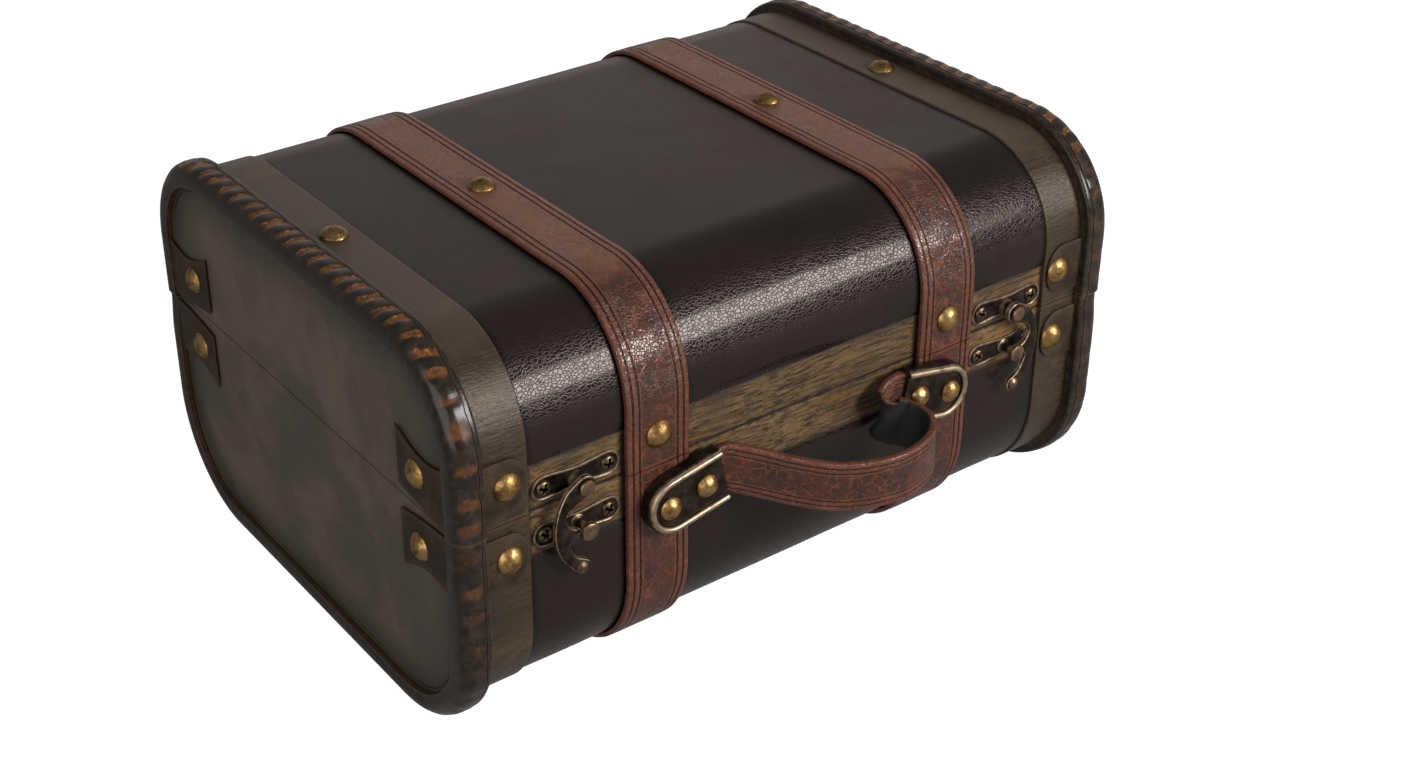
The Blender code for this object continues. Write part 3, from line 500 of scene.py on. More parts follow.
def makeCoverFinish(look=coverLook):
    material, place = newFinish("blackCover")
    long = stretched(place, (0.75, 1.0, 1.0))
    grain = useGroup(leatherGrain, long, Pebble=1000.0, Wrinkle=210.0, Folds=0.10, Creases=0.03)
    clouds, dust = speckle(place, 18.0, 4.0, 0.6), maskOf(topDust, place)
    shadow = maskOf(besideStraps, place, Reach=look["shadowReach"])
    colour = layered(look["deep"], (ramp(clouds, 0.36, 0.66), look["dusty"]), (shadow, look["shadow"]))
    low, high = look["roughness"]
    gaps = times(grain["Gaps"], ramp(dust, 0.0, 1.0, 1.0, 0.25))
    roughness = timesPlus(gaps, look["gapRoughness"] - high, ramp(clouds, 0.35, 0.65, low, high))
    roughness = timesPlus(dust, look["dustRoughness"], roughness)
    return finished(material, look, colour, roughness, times(grain["Height"], ramp(dust, 0.0, 1.0, 1.0, 0.3)))


strapLook = {
    "brown": tint(66, 38, 27),
    "red": tint(86, 43, 28),
    "blots": tint(48, 30, 25),
    "dark": tint(28, 18, 13),
    "faded": tint(160, 107, 80),
    "scuffed": tint(150, 88, 66),
    "cracks": tint(140, 84, 62),
    "groove": tint(16, 10, 8),
    "blotShare": 0.8,
    "scuffShare": 0.45,
    "creaseShare": 0.7,
    "crackShare": 0.4,
    "fadedShare": 0.65,
    "edgeShare": 0.25,
    "grooveShare": 0.95,
    "wrinkle": 190.0,
    "roughness": (0.09, 0.14),
    "gapRoughness": 0.35,
    "dustRoughness": 0.26,
    "relief": (0.46, 0.35 * mm),
    "gloss": 0.6,
    "glossTint": (1.0, 0.9, 0.84, 1.0),
}
handleLook = {
    **strapLook,
    "brown": tint(64, 38, 28),
    "red": tint(86, 44, 31),
    "cracks": tint(158, 82, 50),
    "scuffShare": 0.3,
    "crackShare": 0.55,
    "wrinkle": 230.0,
}


def makeStrapFinish(name, look):
    material, place = newFinish(name)
    grain = useGroup(leatherGrain, place, Pebble=1100.0, Wrinkle=look["wrinkle"], Folds=0.25, Creases=0.6)
    blots = speckle(place, 130.0, 5.0, 0.65)
    scuffs = ramp(speckle(stretched(place, (1.0, 0.5, 1.0)), 210.0, 5.0, 0.7), 0.54, 0.68)
    dust = maskOf(topDust, place, Low=139.5 * mm, High=144.5 * mm)
    colour = layered(
        look["brown"],
        (ramp(speckle(place, 60.0, 4.0, 0.6, 0.5), 0.36, 0.66), look["red"]),
        (ramp(blots, 0.46, 0.68, 0.0, look["blotShare"]), look["blots"]),
        (times(scuffs, look["scuffShare"]), look["scuffed"]),
        (times(grain["Crease"], look["creaseShare"]), look["dark"]),
        (times(grain["Crackle"], look["crackShare"]), look["cracks"]),
        (times(dust, look["fadedShare"]), look["faded"]),
        # The raised edges are made lighter: partly rubbed leather, partly a painted highlight
        (ramp(meshValue(place, "edge"), 0.15, 0.6, 0.0, look["edgeShare"]), look["scuffed"]),
        # Painted shade: the pressed grooves are darkened nearly to black
        (ramp(meshValue(place, "groove"), 0.1, 0.8, 0.0, look["grooveShare"]), look["groove"]),
    )
    roughness = timesPlus(grain["Gaps"], look["gapRoughness"], ramp(blots, 0.35, 0.65, *look["roughness"]))
    return finished(material, look, colour, timesPlus(dust, look["dustRoughness"], roughness), grain["Height"])


insideLook = {
    "dark": tint(20, 19, 18),
    "light": tint(33, 31, 28),
    "roughness": (0.62, 0.8),
    "relief": (0.6, 0.3 * mm),
}


def makeStrapInside(look=insideLook):
    material, place = newFinish("strapInside")
    clouds = speckle(place, 90.0, 3.0)
    colour = mixed(ramp(clouds, 0.35, 0.65), look["dark"], look["light"])
    roughness = ramp(clouds, 0.3, 0.7, *look["roughness"])
    return finished(material, look, colour, roughness, speckle(place, 900.0, 4.0, 0.7))


tabLook = {
    "dark": tint(46, 37, 28),
    "light": tint(76, 61, 45),
    "creases": tint(24, 20, 17),
    "rubbed": tint(92, 72, 52),
    "creaseShare": 0.6,
    "rubbedShare": 0.3,
    "roughness": (0.42, 0.58),
    "relief": (0.4, 0.3 * mm),
    "gloss": 0.22,
}


def makeTabFinish(look=tabLook):
    material, place = newFinish("tabLeather")
    grain = useGroup(leatherGrain, place, Pebble=1500.0, Wrinkle=200.0, Folds=0.5, Creases=0.6)
    clouds = speckle(place, 70.0, 4.0, 0.6)
    colour = layered(
        look["dark"],
        (ramp(clouds, 0.36, 0.66), look["light"]),
        (times(grain["Crease"], look["creaseShare"]), look["creases"]),
        (times(worn(place, 0.35, 300.0), look["rubbedShare"]), look["rubbed"]),
    )
    return finished(material, look, colour, ramp(clouds, 0.3, 0.7, *look["roughness"]), grain["Height"])


threadLook = {"dark": tint(16, 13, 12), "light": tint(38, 30, 26), "roughness": 0.55, "relief": (0.5, 0.1 * mm)}


def makeThreadFinish(look=threadLook):
    material, place = newFinish("waxedThread")
    twist = speckle(place, 2600.0, 2.0)
    colour = mixed(ramp(twist, 0.35, 0.65), look["dark"], look["light"])
    return finished(material, look, colour, look["roughness"], twist)


# Brass: bright where it is rubbed, with brown patina in patches and fine pits. The heads on top are duller
brassLook = {
    "bright": tint(188, 152, 98),
    "brown": tint(122, 90, 52),
    "pits": tint(62, 44, 26),
    "edge": tint(84, 62, 38),
    "pitShare": 0.7,
    "edgeShare": 0.6,
    "roughness": (0.30, 0.46),
    "relief": (0.3, 0.35 * mm),
    "metal": 1.0,
    "dullness": 0.0,
}
dullLook = {**brassLook, "dullness": 1.0, "relief": (0.6, 0.35 * mm)}


def makeBrassFinish(name, look):
    material, place = newFinish(name)
    patches = speckle(place, 330.0, 5.0, 0.65, 0.6)
    pits = ramp(speckle(place, 1300.0, 3.0, 0.6), 0.60 - 0.1 * look["dullness"], 0.70)
    edge = ramp(meshValue(place, "edge"), 0.2, 0.8, 0.4 * look["dullness"], look["edgeShare"])
    colour = layered(
        look["bright"],
        (ramp(patches, 0.42, 0.66), look["brown"]),
        (times(pits, look["pitShare"]), look["pits"]),
        (edge, look["edge"]),
    )
    dents = minus(speckle(place, 420.0, 3.0, 0.5), times(pits, 0.35))
    return finished(material, look, colour, ramp(patches, 0.35, 0.7, *look["roughness"]), dents)


# Bronze: dark plating with the raised edges rubbed bright. Screws and heads have lost more of it
bronzeLook = {
    "dark": tint(52, 44, 39),
    "brown": tint(84, 71, 60),
    "rubbed": tint(186, 166, 140),
    "slot": tint(12, 10, 9),
    "wearStart": 0.5,
    "wornRoughness": 0.08,
    "roughness": (0.28, 0.44),
    "relief": (0.25, 0.2 * mm),
    "metal": 1.0,
}
screwLook = {**bronzeLook, "dark": tint(128, 108, 84), "brown": tint(84, 69, 54), "wearStart": 0.45}
copperLook = {**bronzeLook, "dark": tint(158, 128, 102), "brown": tint(102, 80, 63), "wearStart": 0.7}


def makeBronzeFinish(name, look):
    material, place = newFinish(name)
    patches = speckle(place, 240.0, 5.0, 0.6, 0.4)
    rubbed = worn(place, look["wearStart"], 380.0)
    colour = layered(
        look["dark"],
        (ramp(patches, 0.38, 0.66), look["brown"]),
        (rubbed, look["rubbed"]),
        (ramp(meshValue(place, "edge"), -0.8, -0.2, 1.0, 0.0), look["slot"]),
    )
    roughness = timesPlus(rubbed, look["wornRoughness"], ramp(patches, 0.3, 0.7, *look["roughness"]))
    return finished(material, look, colour, roughness, speckle(place, 900.0, 4.0, 0.6))


plyLook = {
    "dark": tint(150, 118, 78),
    "light": tint(188, 154, 108),
    "roughness": (0.6, 0.75),
    "relief": (0.3, 0.3 * mm),
}


def makePlyFinish(look=plyLook):
    material, place = newFinish("barePly")
    grain = useGroup(woodGrain, place, Along=(0.05, 1.0, 1.0), Fineness=800.0)
    colour = mixed(ramp(grain["Streaks"], 0.35, 0.7), look["dark"], look["light"])
    return finished(material, look, colour, ramp(grain["Clouds"], 0.3, 0.7, *look["roughness"]), grain["Streaks"])


liningLook = {
    "dark": tint(58, 30, 30),
    "light": tint(86, 44, 42),
    "weave": tint(108, 62, 58),
    "weaveShare": 0.4,
    "roughness": (0.85, 0.98),
    "relief": (0.6, 0.3 * mm),
    "sheen": 0.15,
}


def makeLiningFinish(look=liningLook):
    material, place = newFinish("flockedCloth")
    weave, nap = speckle(place, 1800.0, 3.0, 0.5), speckle(place, 120.0, 4.0, 0.6)
    colour = layered(
        look["dark"],
        (ramp(nap, 0.35, 0.65), look["light"]),
        (ramp(weave, 0.45, 0.7, 0.0, look["weaveShare"]), look["weave"]),
    )
    return finished(material, look, colour, ramp(nap, 0.3, 0.7, *look["roughness"]), weave)


finishes = {
    "dark_board": makeBoardFinish(),
    "golden_rail": makeRailFinish(),
    "brushed_band": makeBandFinish(),
    "burnt_rim": makeRimFinish(),
    "black_cover": makeCoverFinish(),
    "brown_strap": makeStrapFinish("brownStrap", strapLook),
    "tab_leather": makeTabFinish(),
    "plywood": makePlyFinish(),
    "lining_cloth": makeLiningFinish(),
    "brass": makeBrassFinish("agedBrass", brassLook),
    "bronze": makeBronzeFinish("darkBronze", bronzeLook),
}
screwFinish = makeBronzeFinish("rubbedScrew", screwLook)
copperFinish = makeBronzeFinish("copperHead", copperLook)
dullBrass = makeBrassFinish("dullBrass", dullLook)
handleOutside = makeStrapFinish("handleOutside", handleLook)
handleInside = makeStrapInside()
threadFinish = makeThreadFinish()
print("finishes made")


# Mesh tools: a shape is its points, its faces and one (u, v) in metres for each corner of each face
def travelled(points):
    return np.concatenate([[0.0], np.cumsum(np.linalg.norm(np.diff(points, axis=0), axis=1))])


def travelledVectors(places):
    lengths = [0.0]
    for here, there in zip(places, places[1:]):
        lengths.append(lengths[-1] + (there - here).length)
    return lengths


def skin(rows, closed=True, capped=True, alongs=None):
    points = np.array([[tuple(p) for p in row] for row in rows], float)
    count, wide = points.shape[:2]
    middle = points[count // 2]
    alongs = travelled(points.mean(1)) if alongs is None else alongs
    acrosses = travelled(np.concatenate([middle, middle[:1]]))
    polygons, corners = [], []
    for r in range(count - 1):
        for c in range(wide if closed else wide - 1):
            d = (c + 1) % wide
            polygons.append((r * wide + c, r * wide + d, (r + 1) * wide + d, (r + 1) * wide + c))
            corners += [(alongs[r], acrosses[c]), (alongs[r], acrosses[c + 1])]
            corners += [(alongs[r + 1], acrosses[c + 1]), (alongs[r + 1], acrosses[c])]
    for r in (0, count - 1) if capped else ():
        polygons.append(tuple(r * wide + c for c in range(wide)))
        corners += [(alongs[r], acrosses[c]) for c in range(wide)]
    return points.reshape(-1, 3), polygons, corners


def joined(shapes):
    points, polygons, corners, start = [], [], [], 0
    for shape in shapes:
        points.append(shape[0])
        polygons += [tuple(i + start for i in polygon) for polygon in shape[1]]
        corners += shape[2]
        start += len(shape[0])
    return np.concatenate(points), polygons, corners


def moved(shape, matrix):
    turned = np.array(matrix.to_3x3())
    return shape[0] @ turned.T + np.array(matrix.translation), shape[1], shape[2]


def editMesh(mesh, work):
    form = bmesh.new()
    form.from_mesh(mesh)
    work(form)
    form.to_mesh(mesh)
    form.free()


# Convex edges are marked from 0 to 1, for the wear in the finishes
def edgeMarks(mesh, fullBend=radians(45)):
    form = bmesh.new()
    form.from_mesh(mesh)
    marks = []
    for vertex in form.verts:
        bends = [edge.calc_face_angle_signed(0.0) for edge in vertex.link_edges if len(edge.link_faces) == 2]
        marks.append(min(max(max(bends, default=0.0) / fullBend, 0.0), 1.0))
    form.free()
    return marks


def storeValues(mesh, label, numbers):
    mesh.attributes.new(label, "FLOAT", "POINT").data.foreach_set("value", np.array(numbers, np.float32))


def makePiece(name, shape, slot, body, replaced, finish=None, sharp=38, values={}):
    points, polygons, corners = shape
    mesh = bpy.data.meshes.new(name)
    mesh.from_pydata(points.tolist(), [], polygons)
    mesh.uv_layers.new(name="UVMap").data.foreach_set("uv", np.array(corners, np.float32).ravel())
    for label, numbers in values.items():
        storeValues(mesh, label, numbers)
    editMesh(mesh, lambda form: bmesh.ops.recalc_face_normals(form, faces=form.faces))
    mesh.shade_smooth()
    mesh.set_sharp_from_angle(angle=radians(sharp))
    if "edge" not in values:
        storeValues(mesh, "edge", edgeMarks(mesh))
    mesh.materials.append(finish or finishes[slot])
    piece = addToScene(name, mesh)
    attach(piece, body)
    if replaced:
        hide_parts(replaced)
    return piece


# Stations round one half of the box, from the front seam edge to the back one: (place, normal, length so far)
def outline(part, fromSeam, spacing=2.0 * mm):
    up, half, radius = ups[part], suitcase["halfDepth"], suitcase["cornerRadius"][part]
    far = 0.0 if part == "base" else suitcase["height"]
    edge, bend = suitcase["seam"] + up * fromSeam, far - up * radius
    stations = []

    def straight(start, end, normal):
        start, end = Vector(start), Vector(end)
        count = max(2, round((end - start).length / spacing))
        stations.extend((start.lerp(end, i / count), Vector(normal)) for i in range(count))

    def corner(centre, start):
        count = round(radius * pi / 2 / spacing)
        for i in range(count):
            angle = start - pi / 2 * i / count
            normal = Vector((cos(angle), up * sin(angle)))
            stations.append((Vector(centre) + normal * radius, normal))

    straight((-half, edge), (-half, bend), (-1, 0))
    corner((radius - half, bend), pi)
    straight((radius - half, far), (half - radius, far), (0, up))
    corner((half - radius, bend), pi / 2)
    straight((half, bend), (half, edge), (1, 0))
    stations.append((Vector((half, edge)), Vector((1, 0))))
    lengths = travelledVectors([place for place, _ in stations])
    return [(place, normal, length) for (place, normal), length in zip(stations, lengths)]


def stationAt(stations, length):
    for (place, normal, start), (following, nextNormal, end) in zip(stations, stations[1:]):
        if end >= length:
            share = (length - start) / max(end - start, 1e-9)
            return place.lerp(following, share), normal.lerp(nextNormal, share).normalized(), length
    return stations[-1]


def onOutline(station, x, inset):
    place, normal, _ = station
    return Vector((x, suitcase["middleY"] + place.x - normal.x * inset, place.y - normal.y * inset))


def fromEnd(side, distance):
    return sides[side] * (suitcase["halfLength"] - distance)


def fromFace(face, inset):
    return suitcase["middleY"] + faces[face] * (suitcase["halfDepth"] - inset)


def fromSeam(part, distance):
    return suitcase["seam"] + ups[part] * distance


# A section, a list of (x, inset), carried along the outline. bend(x, inset, length, column) moves each point
def carried(section, stations, bend):
    rows = []
    for station in stations:
        places = [bend(x, inset, station[2], column) for column, (x, inset) in enumerate(section)]
        rows.append([onOutline(station, x, inset) for x, inset in places])
    return skin(rows, alongs=[station[2] for station in stations])


# A softened corner of a section, from the side onto the face
def eased(x, y, soft, inX, inY):
    return [(x, y + inY * soft), (x + inX * soft * 0.3, y + inY * soft * 0.3), (x + inX * soft, y)]


def circle(count, radius=1.0):
    return [(radius * cos(2 * pi * i / count), radius * sin(2 * pi * i / count)) for i in range(count)]


def arcPoints(centre, radius, start, end, steps):
    turns = [start + (end - start) * i / steps for i in range(steps + 1)]
    return [(centre[0] + radius * cos(a), centre[1] + radius * sin(a)) for a in turns]


# A profile of (radius, height) turned round; squareness flattens it towards four sides
def turnedShape(profile, count=28, squareness=0.0):
    rows = []
    for radius, height in profile:
        away = [radius * (1 + squareness * (abs(cos(4 * pi * i / count)) - 1) * 0.5) for i in range(count)]
        rows.append([(a * x, a * y, height) for a, (x, y) in zip(away, circle(count))])
    return skin(rows)


# A smooth curve through the points: the place at share t between here and there
def curvePoint(before, here, there, after, t):
    bent = 2 * here + (there - before) * t + (2 * before - 5 * here + 4 * there - after) * t**2
    return (bent + (3 * here - before - 3 * there + after) * t**3) / 2


# The hinge line: behind it the mouldings and straps give way, so that the lid can swing back
hingeY, hingeLean = joints["lid_hinge"][1], radians(52)


def relieve(piece, part):
    def cutAway(form):
        across = Vector((0.0, -sin(hingeLean), ups[part] * cos(hingeLean)))
        place = (0.0, hingeY, suitcase["seam"])
        everything = form.verts[:] + form.edges[:] + form.faces[:]
        made = bmesh.ops.bisect_plane(form, geom=everything, plane_co=place, plane_no=across, clear_inner=True)
        border = [item for item in made["geom_cut"] if isinstance(item, bmesh.types.BMEdge)]
        bmesh.ops.holes_fill(form, edges=border)

    editMesh(piece.data, cutAway)
    piece.data.set_sharp_from_angle(angle=radians(38))


# End boards: a flat panel with a fine groove that follows the moulding
board = {
    "outer": 6.3 * mm,
    "front": 2.4 * mm,
    "back": 11.4 * mm,
    "groove": 10.0 * mm,
    "grooveWidth": 0.9 * mm,
    "grooveDepth": 0.6 * mm,
    "grimeEnd": 30 * mm,
}


def makeBoard(part, side):
    half, front, groove = board["grooveWidth"] / 2, board["front"], board["groove"]
    deep = front + board["grooveDepth"]
    columns = [(board["back"], board["outer"]), (front, board["outer"])]
    columns += [(front, groove - half), (deep, groove - half * 0.5)]
    columns += [(deep, groove + half * 0.5), (front, groove + half), (front, board["grimeEnd"])]
    stations = outline(part, suitcase["seamGap"] / 2)
    rings = [[onOutline(s, fromEnd(side, x), inset) for s in stations] for x, inset in columns]
    points, polygons, corners = skin(rings, False, False)
    count, wide = len(rings), len(stations)
    seamFace = [i * wide for i in range(count)] + [i * wide + wide - 1 for i in reversed(range(count))]
    for extra in (range((count - 1) * wide, count * wide), range(wide), seamFace):
        polygons.append(tuple(extra))
        corners += [(points[i][1], points[i][2]) for i in extra]
    # near is 1 next to the moulding and 0 at the last ring, and places the painted shade there
    near = [1.0 - smoothStep(groove, board["grimeEnd"], inset) for _, inset in columns for _ in stations]
    shape, node = (points, polygons, corners), f"{part}_end_{side}"
    makePiece(f"{part}_board_{side}", shape, "dark_board", part, node, sharp=25, values={"near": near})


# Rails: rounded along their edges and a little uneven, as planed wood is
rail = {
    "thickness": 6.9 * mm,
    "outer": 5.4 * mm,
    "end": 11.7 * mm,
    "round": 0.3 * mm,
    "uneven": 0.12 * mm,
    "levels": 9,
    "steps": 110,
    "shadow": 1.8 * mm,
}


def makeRail(part, face):
    up, soft = ups[part], rail["round"]
    low, high = suitcase["seamGap"] / 2, suitcase["railHeight"][part]
    depth, reach = suitcase["halfDepth"] - rail["outer"], suitcase["halfLength"] - rail["end"]
    levels = np.linspace(low + soft, high - soft, rail["levels"])[1:-1]
    section = [(depth - rail["thickness"], low)] + eased(depth, low, soft, -1, 1)[::-1]
    section += [(depth, level) for level in levels]
    section += eased(depth, high, soft, -1, -1) + [(depth - rail["thickness"], high)]
    rows = []
    for x in np.linspace(-reach, reach, rail["steps"]):
        row = []
        for deep, level in section:
            wave = rail["uneven"] * (0.5 + wander(3 + up, x, 0.02) + 0.5 * wander(9, x + level * 9, 0.006))
            inward = max(wave, 0.0) if deep > depth - soft * 0.5 else 0.0
            row.append((x, fromFace(face, suitcase["halfDepth"] - deep + inward), fromSeam(part, level)))
        rows.append(row)
    covered = high - cover["lap"]
    near = [smoothStep(covered - rail["shadow"], covered, level) for _, level in section] * len(rows)
    name, node = f"{part}_rail_{face}", f"{part}_{face}_rail"
    makePiece(name, skin(rows), "golden_rail", part, node, sharp=50, values={"near": near})


# Covers: leather glued over the bent wall, its edges folded down at the rails
cover = {
    "outer": 4.8 * mm,
    "inner": 6.0 * mm,
    "end": 27.6 * mm,
    "uneven": 0.16 * mm,
    "fold": 0.7 * mm,
    "lap": 0.9 * mm,
    "steps": 84,
}


def makeCover(part):
    reach = suitcase["halfLength"] - cover["end"]
    xs = np.linspace(-reach, reach, cover["steps"])
    section = [(x, cover["outer"]) for x in xs] + [(x, cover["inner"]) for x in xs[::-1]]
    stations = outline(part, suitcase["railHeight"][part] - cover["lap"])
    total = stations[-1][2]

    def bend(x, inset, length, column):
        if inset > cover["outer"]:
            return x, inset
        folded = 1 - sqrt(max(1 - (1 - min(min(length, total - length) / cover["fold"], 1)) ** 2, 0.0))
        wave = 0.5 + wander(1, x, 0.03) * 0.6 + noise.noise(Vector((x * 60, length * 60, 3.0))) * 0.5
        return x, inset + folded * cover["fold"] + max(wave, 0.0) * cover["uneven"]

    makePiece(f"{part}_leather", carried(section, stations, bend), "black_cover", part, f"{part}_cover", sharp=50)


# Bands: brushed strips beside the mouldings
band = {
    "outer": 4.1 * mm,
    "inner": 6.0 * mm,
    "start": 10.8 * mm,
    "end": suitcase["bandEnd"],
    "round": 0.4 * mm,
    "wavyEdge": 0.15 * mm,
    "wavyFace": 0.08 * mm,
}


def makeBand(part, side):
    start, end, soft, top, deep = (band[key] for key in ("start", "end", "round", "outer", "inner"))
    section = [(start, deep)] + eased(start, top, soft, 1, 1)
    section += [(x, top) for x in np.linspace(start + soft * 2, end - soft * 2, 8)]
    section += eased(end, top, soft, -1, 1)[::-1] + [(end, deep)]

    def bend(x, inset, length, column):
        if column in (0, len(section) - 1):
            return fromEnd(side, x), inset
        edge = band["wavyEdge"] * abs(wander(5 + sides[side], length, 0.011)) if x > end - soft * 1.5 else 0.0
        return fromEnd(side, x - edge), inset + band["wavyFace"] * abs(wander(11, length + x * 3, 0.016))

    shape = carried(section, outline(part, suitcase["seamGap"] / 2), bend)
    makePiece(f"{part}_strip_{side}", shape, "brushed_band", part, f"{part}_band_{side}", sharp=50)


# Mouldings: a round outer edge, a crown, a wavering groove and a thin lip, then the flange on the board
rim = {
    "round": 5.0 * mm,
    "grooveAt": 8.2 * mm,
    "grooveWidth": 0.55 * mm,
    "grooveDepth": 0.55 * mm,
    "grooveWander": 0.45 * mm,
    "width": 10.5 * mm,
    "innerRound": 1.2 * mm,
    "lipDrop": 0.25 * mm,
    "depth": 6.0 * mm,
    "flange": 8.5 * mm,
    "flangeBack": 2.1 * mm,
    "flangeSoft": 0.7 * mm,
    "ribDepth": {"top": 0.42 * mm, "front": 0.16 * mm},
    "ribPitch": {"top": 7.8 * mm, "front": 10.6 * mm},
    "slant": 0.5,
    "topFrom": 130 * mm,
    "topTo": 141 * mm,
    "strength": {"lid": 0.75, "base": 0.32},
    "rightShare": 0.35,
    "backLoss": 0.8,
    "tuck": 0.6 * mm,
    "tuckLength": 16 * mm,
}


def rimSection():
    groove, wide, radius, drop = rim["grooveAt"], rim["grooveWidth"], rim["round"], rim["lipDrop"]
    edge, bottom, flange, back = rim["width"], rim["depth"], rim["flange"], rim["flangeBack"]
    inner = rim["innerRound"]
    section = arcPoints((radius, radius), radius, pi, pi * 1.5, 10)
    section += [(x, 0.0) for x in np.linspace(radius, groove - wide, 4)[1:]]
    section += [(groove - wide / 2, 0.06 * mm), (groove - wide / 6, rim["grooveDepth"])]
    section += [(groove + wide / 6, rim["grooveDepth"]), (groove + wide / 2, drop), (groove + wide, drop)]
    section += arcPoints((edge - inner, drop + inner), inner, -pi / 2, 0.0, 4)
    section += [(edge, bottom), (back, bottom), (back, flange), (rim["flangeSoft"], flange)]
    return section + [(0.2 * mm, flange - 0.2 * mm), (0.0, flange - rim["flangeSoft"])]


def makeRim(part, side):
    groove, depth, pitch = rim["grooveAt"], rim["ribDepth"], rim["ribPitch"]
    stations = outline(part, suitcase["seamGap"] / 2, 1.0 * mm)
    total, seed = stations[-1][2], 20 + 3 * ups[part] + sides[side]
    beats, beat, before = {}, 0.0, 0.0
    for place, _, length in stations:
        top = smoothStep(rim["topFrom"], rim["topTo"], place.y)
        beat += (length - before) / (pitch["front"] * (1 - top) + pitch["top"] * top)
        beats[length], before = (beat, top), length
    values = {label: [] for label in rimValues}
    sideStrength = rim["strength"][part] * (rim["rightShare"] if side == "right" else 1.0)

    def bend(x, inset, length, column):
        beat, top = beats[length]
        crown = smoothStep(0.4 * mm, 2.8 * mm, x) * (1 - smoothStep(groove - 0.8 * mm, groove, x))
        crown = crown if inset < rim["depth"] / 2 else 0.0
        turn = beat + rim["slant"] * top * x / rim["width"] + 0.35 * wander(seed, length, 0.012)
        rib = (0.5 - 0.5 * cos(2 * pi * turn)) ** 2
        strength = sideStrength * (1 - rim["backLoss"] * smoothStep(0.45 * total, 0.6 * total, length))
        faded = (strength + (1 - strength) * top) * (0.6 + 0.8 * abs(wander(seed + 2, length, 0.02)))
        for label, value in zip(rimValues, (rib, crown, top, faded)):
            values[label].append(value)
        ribDepth = depth["front"] * (1 - top) + depth["top"] * top
        near = 1 - smoothStep(0.0, 2.2 * mm, abs(x - groove))
        drift = wander(seed, length, 0.005) + 0.5 * wander(seed + 9, length, 0.0022)
        shift = near * rim["grooveWander"] * drift * 1.6
        fromSeamEdge = smoothStep(0.0, rim["tuckLength"], min(length, total - length))
        tuck = rim["tuck"] * (1 - fromSeamEdge) * (part == "base")
        return fromEnd(side, x + shift + tuck * (x < rim["round"])), max(inset + crown * ribDepth * rib + tuck, 0.0)

    shape = carried(rimSection(), stations, bend)
    name, node = f"{part}_moulding_{side}", f"{part}_rim_{side}"
    relieve(makePiece(name, shape, "burnt_rim", part, node, sharp=42, values=values), part)


# Stitches: one short capsule of waxed thread for each, bedded in its groove
stitch = {
    "pitch": 3.2 * mm,
    "length": 2.5 * mm,
    "width": 0.55 * mm,
    "height": 0.3 * mm,
    "profile": ((-1.0, 0.35), (-0.7, 0.9), (0.0, 1.0), (0.7, 0.9), (1.0, 0.35)),
}


def stitchShape(place, along, outward):
    across, reach = along.cross(outward) * stitch["width"] / 2, stitch["length"] / 2
    rows = []
    for share, size in stitch["profile"]:
        middle = place + along * reach * share
        rows.append([middle + across * size * x + outward * stitch["height"] * size * y for x, y in circle(6)])
    return skin(rows)


# Straps: thick leather with two pressed grooves and their stitches near each edge
strap = {
    "middle": suitcase["strapMiddle"],
    "width": suitcase["strapWidth"],
    "outer": 2.7 * mm,
    "inner": 4.5 * mm,
    "round": 0.7 * mm,
    "grooves": (2.3 * mm, 4.7 * mm),
    "grooveDepth": 0.42 * mm,
    "grooveWidth": 0.8 * mm,
    "squeeze": 0.992,
    "sway": 0.18 * mm,
    "puff": 0.12 * mm,
    "uneven": 0.14 * mm,
    "firstStitch": 1.6 * mm,
    "bareEnds": 9 * mm,
}


def strapSection(grooves):
    half, wide, soft = strap["width"] / 2, strap["grooveWidth"], strap["round"]
    top, bottom, deep = strap["outer"], strap["inner"], strap["outer"] + strap["grooveDepth"]
    marks = []
    for place in grooves:
        marks += [(place - wide / 2, top), (place - wide / 5, deep)]
        marks += [(place + wide / 5, deep), (place + wide / 2, top)]
    between = np.linspace(-half, half, 13)[2:-2]
    flat = [(x, top) for x in between if all(abs(x - place) > wide for place in grooves)]
    section = [(-half, bottom - soft * 0.4)] + eased(-half, top, soft, 1, 1) + sorted(marks + flat)
    section += eased(half, top, soft, -1, 1)[::-1] + [(half, bottom - soft * 0.4)]
    return section + [(half - soft * 0.4, bottom), (-half + soft * 0.4, bottom)]


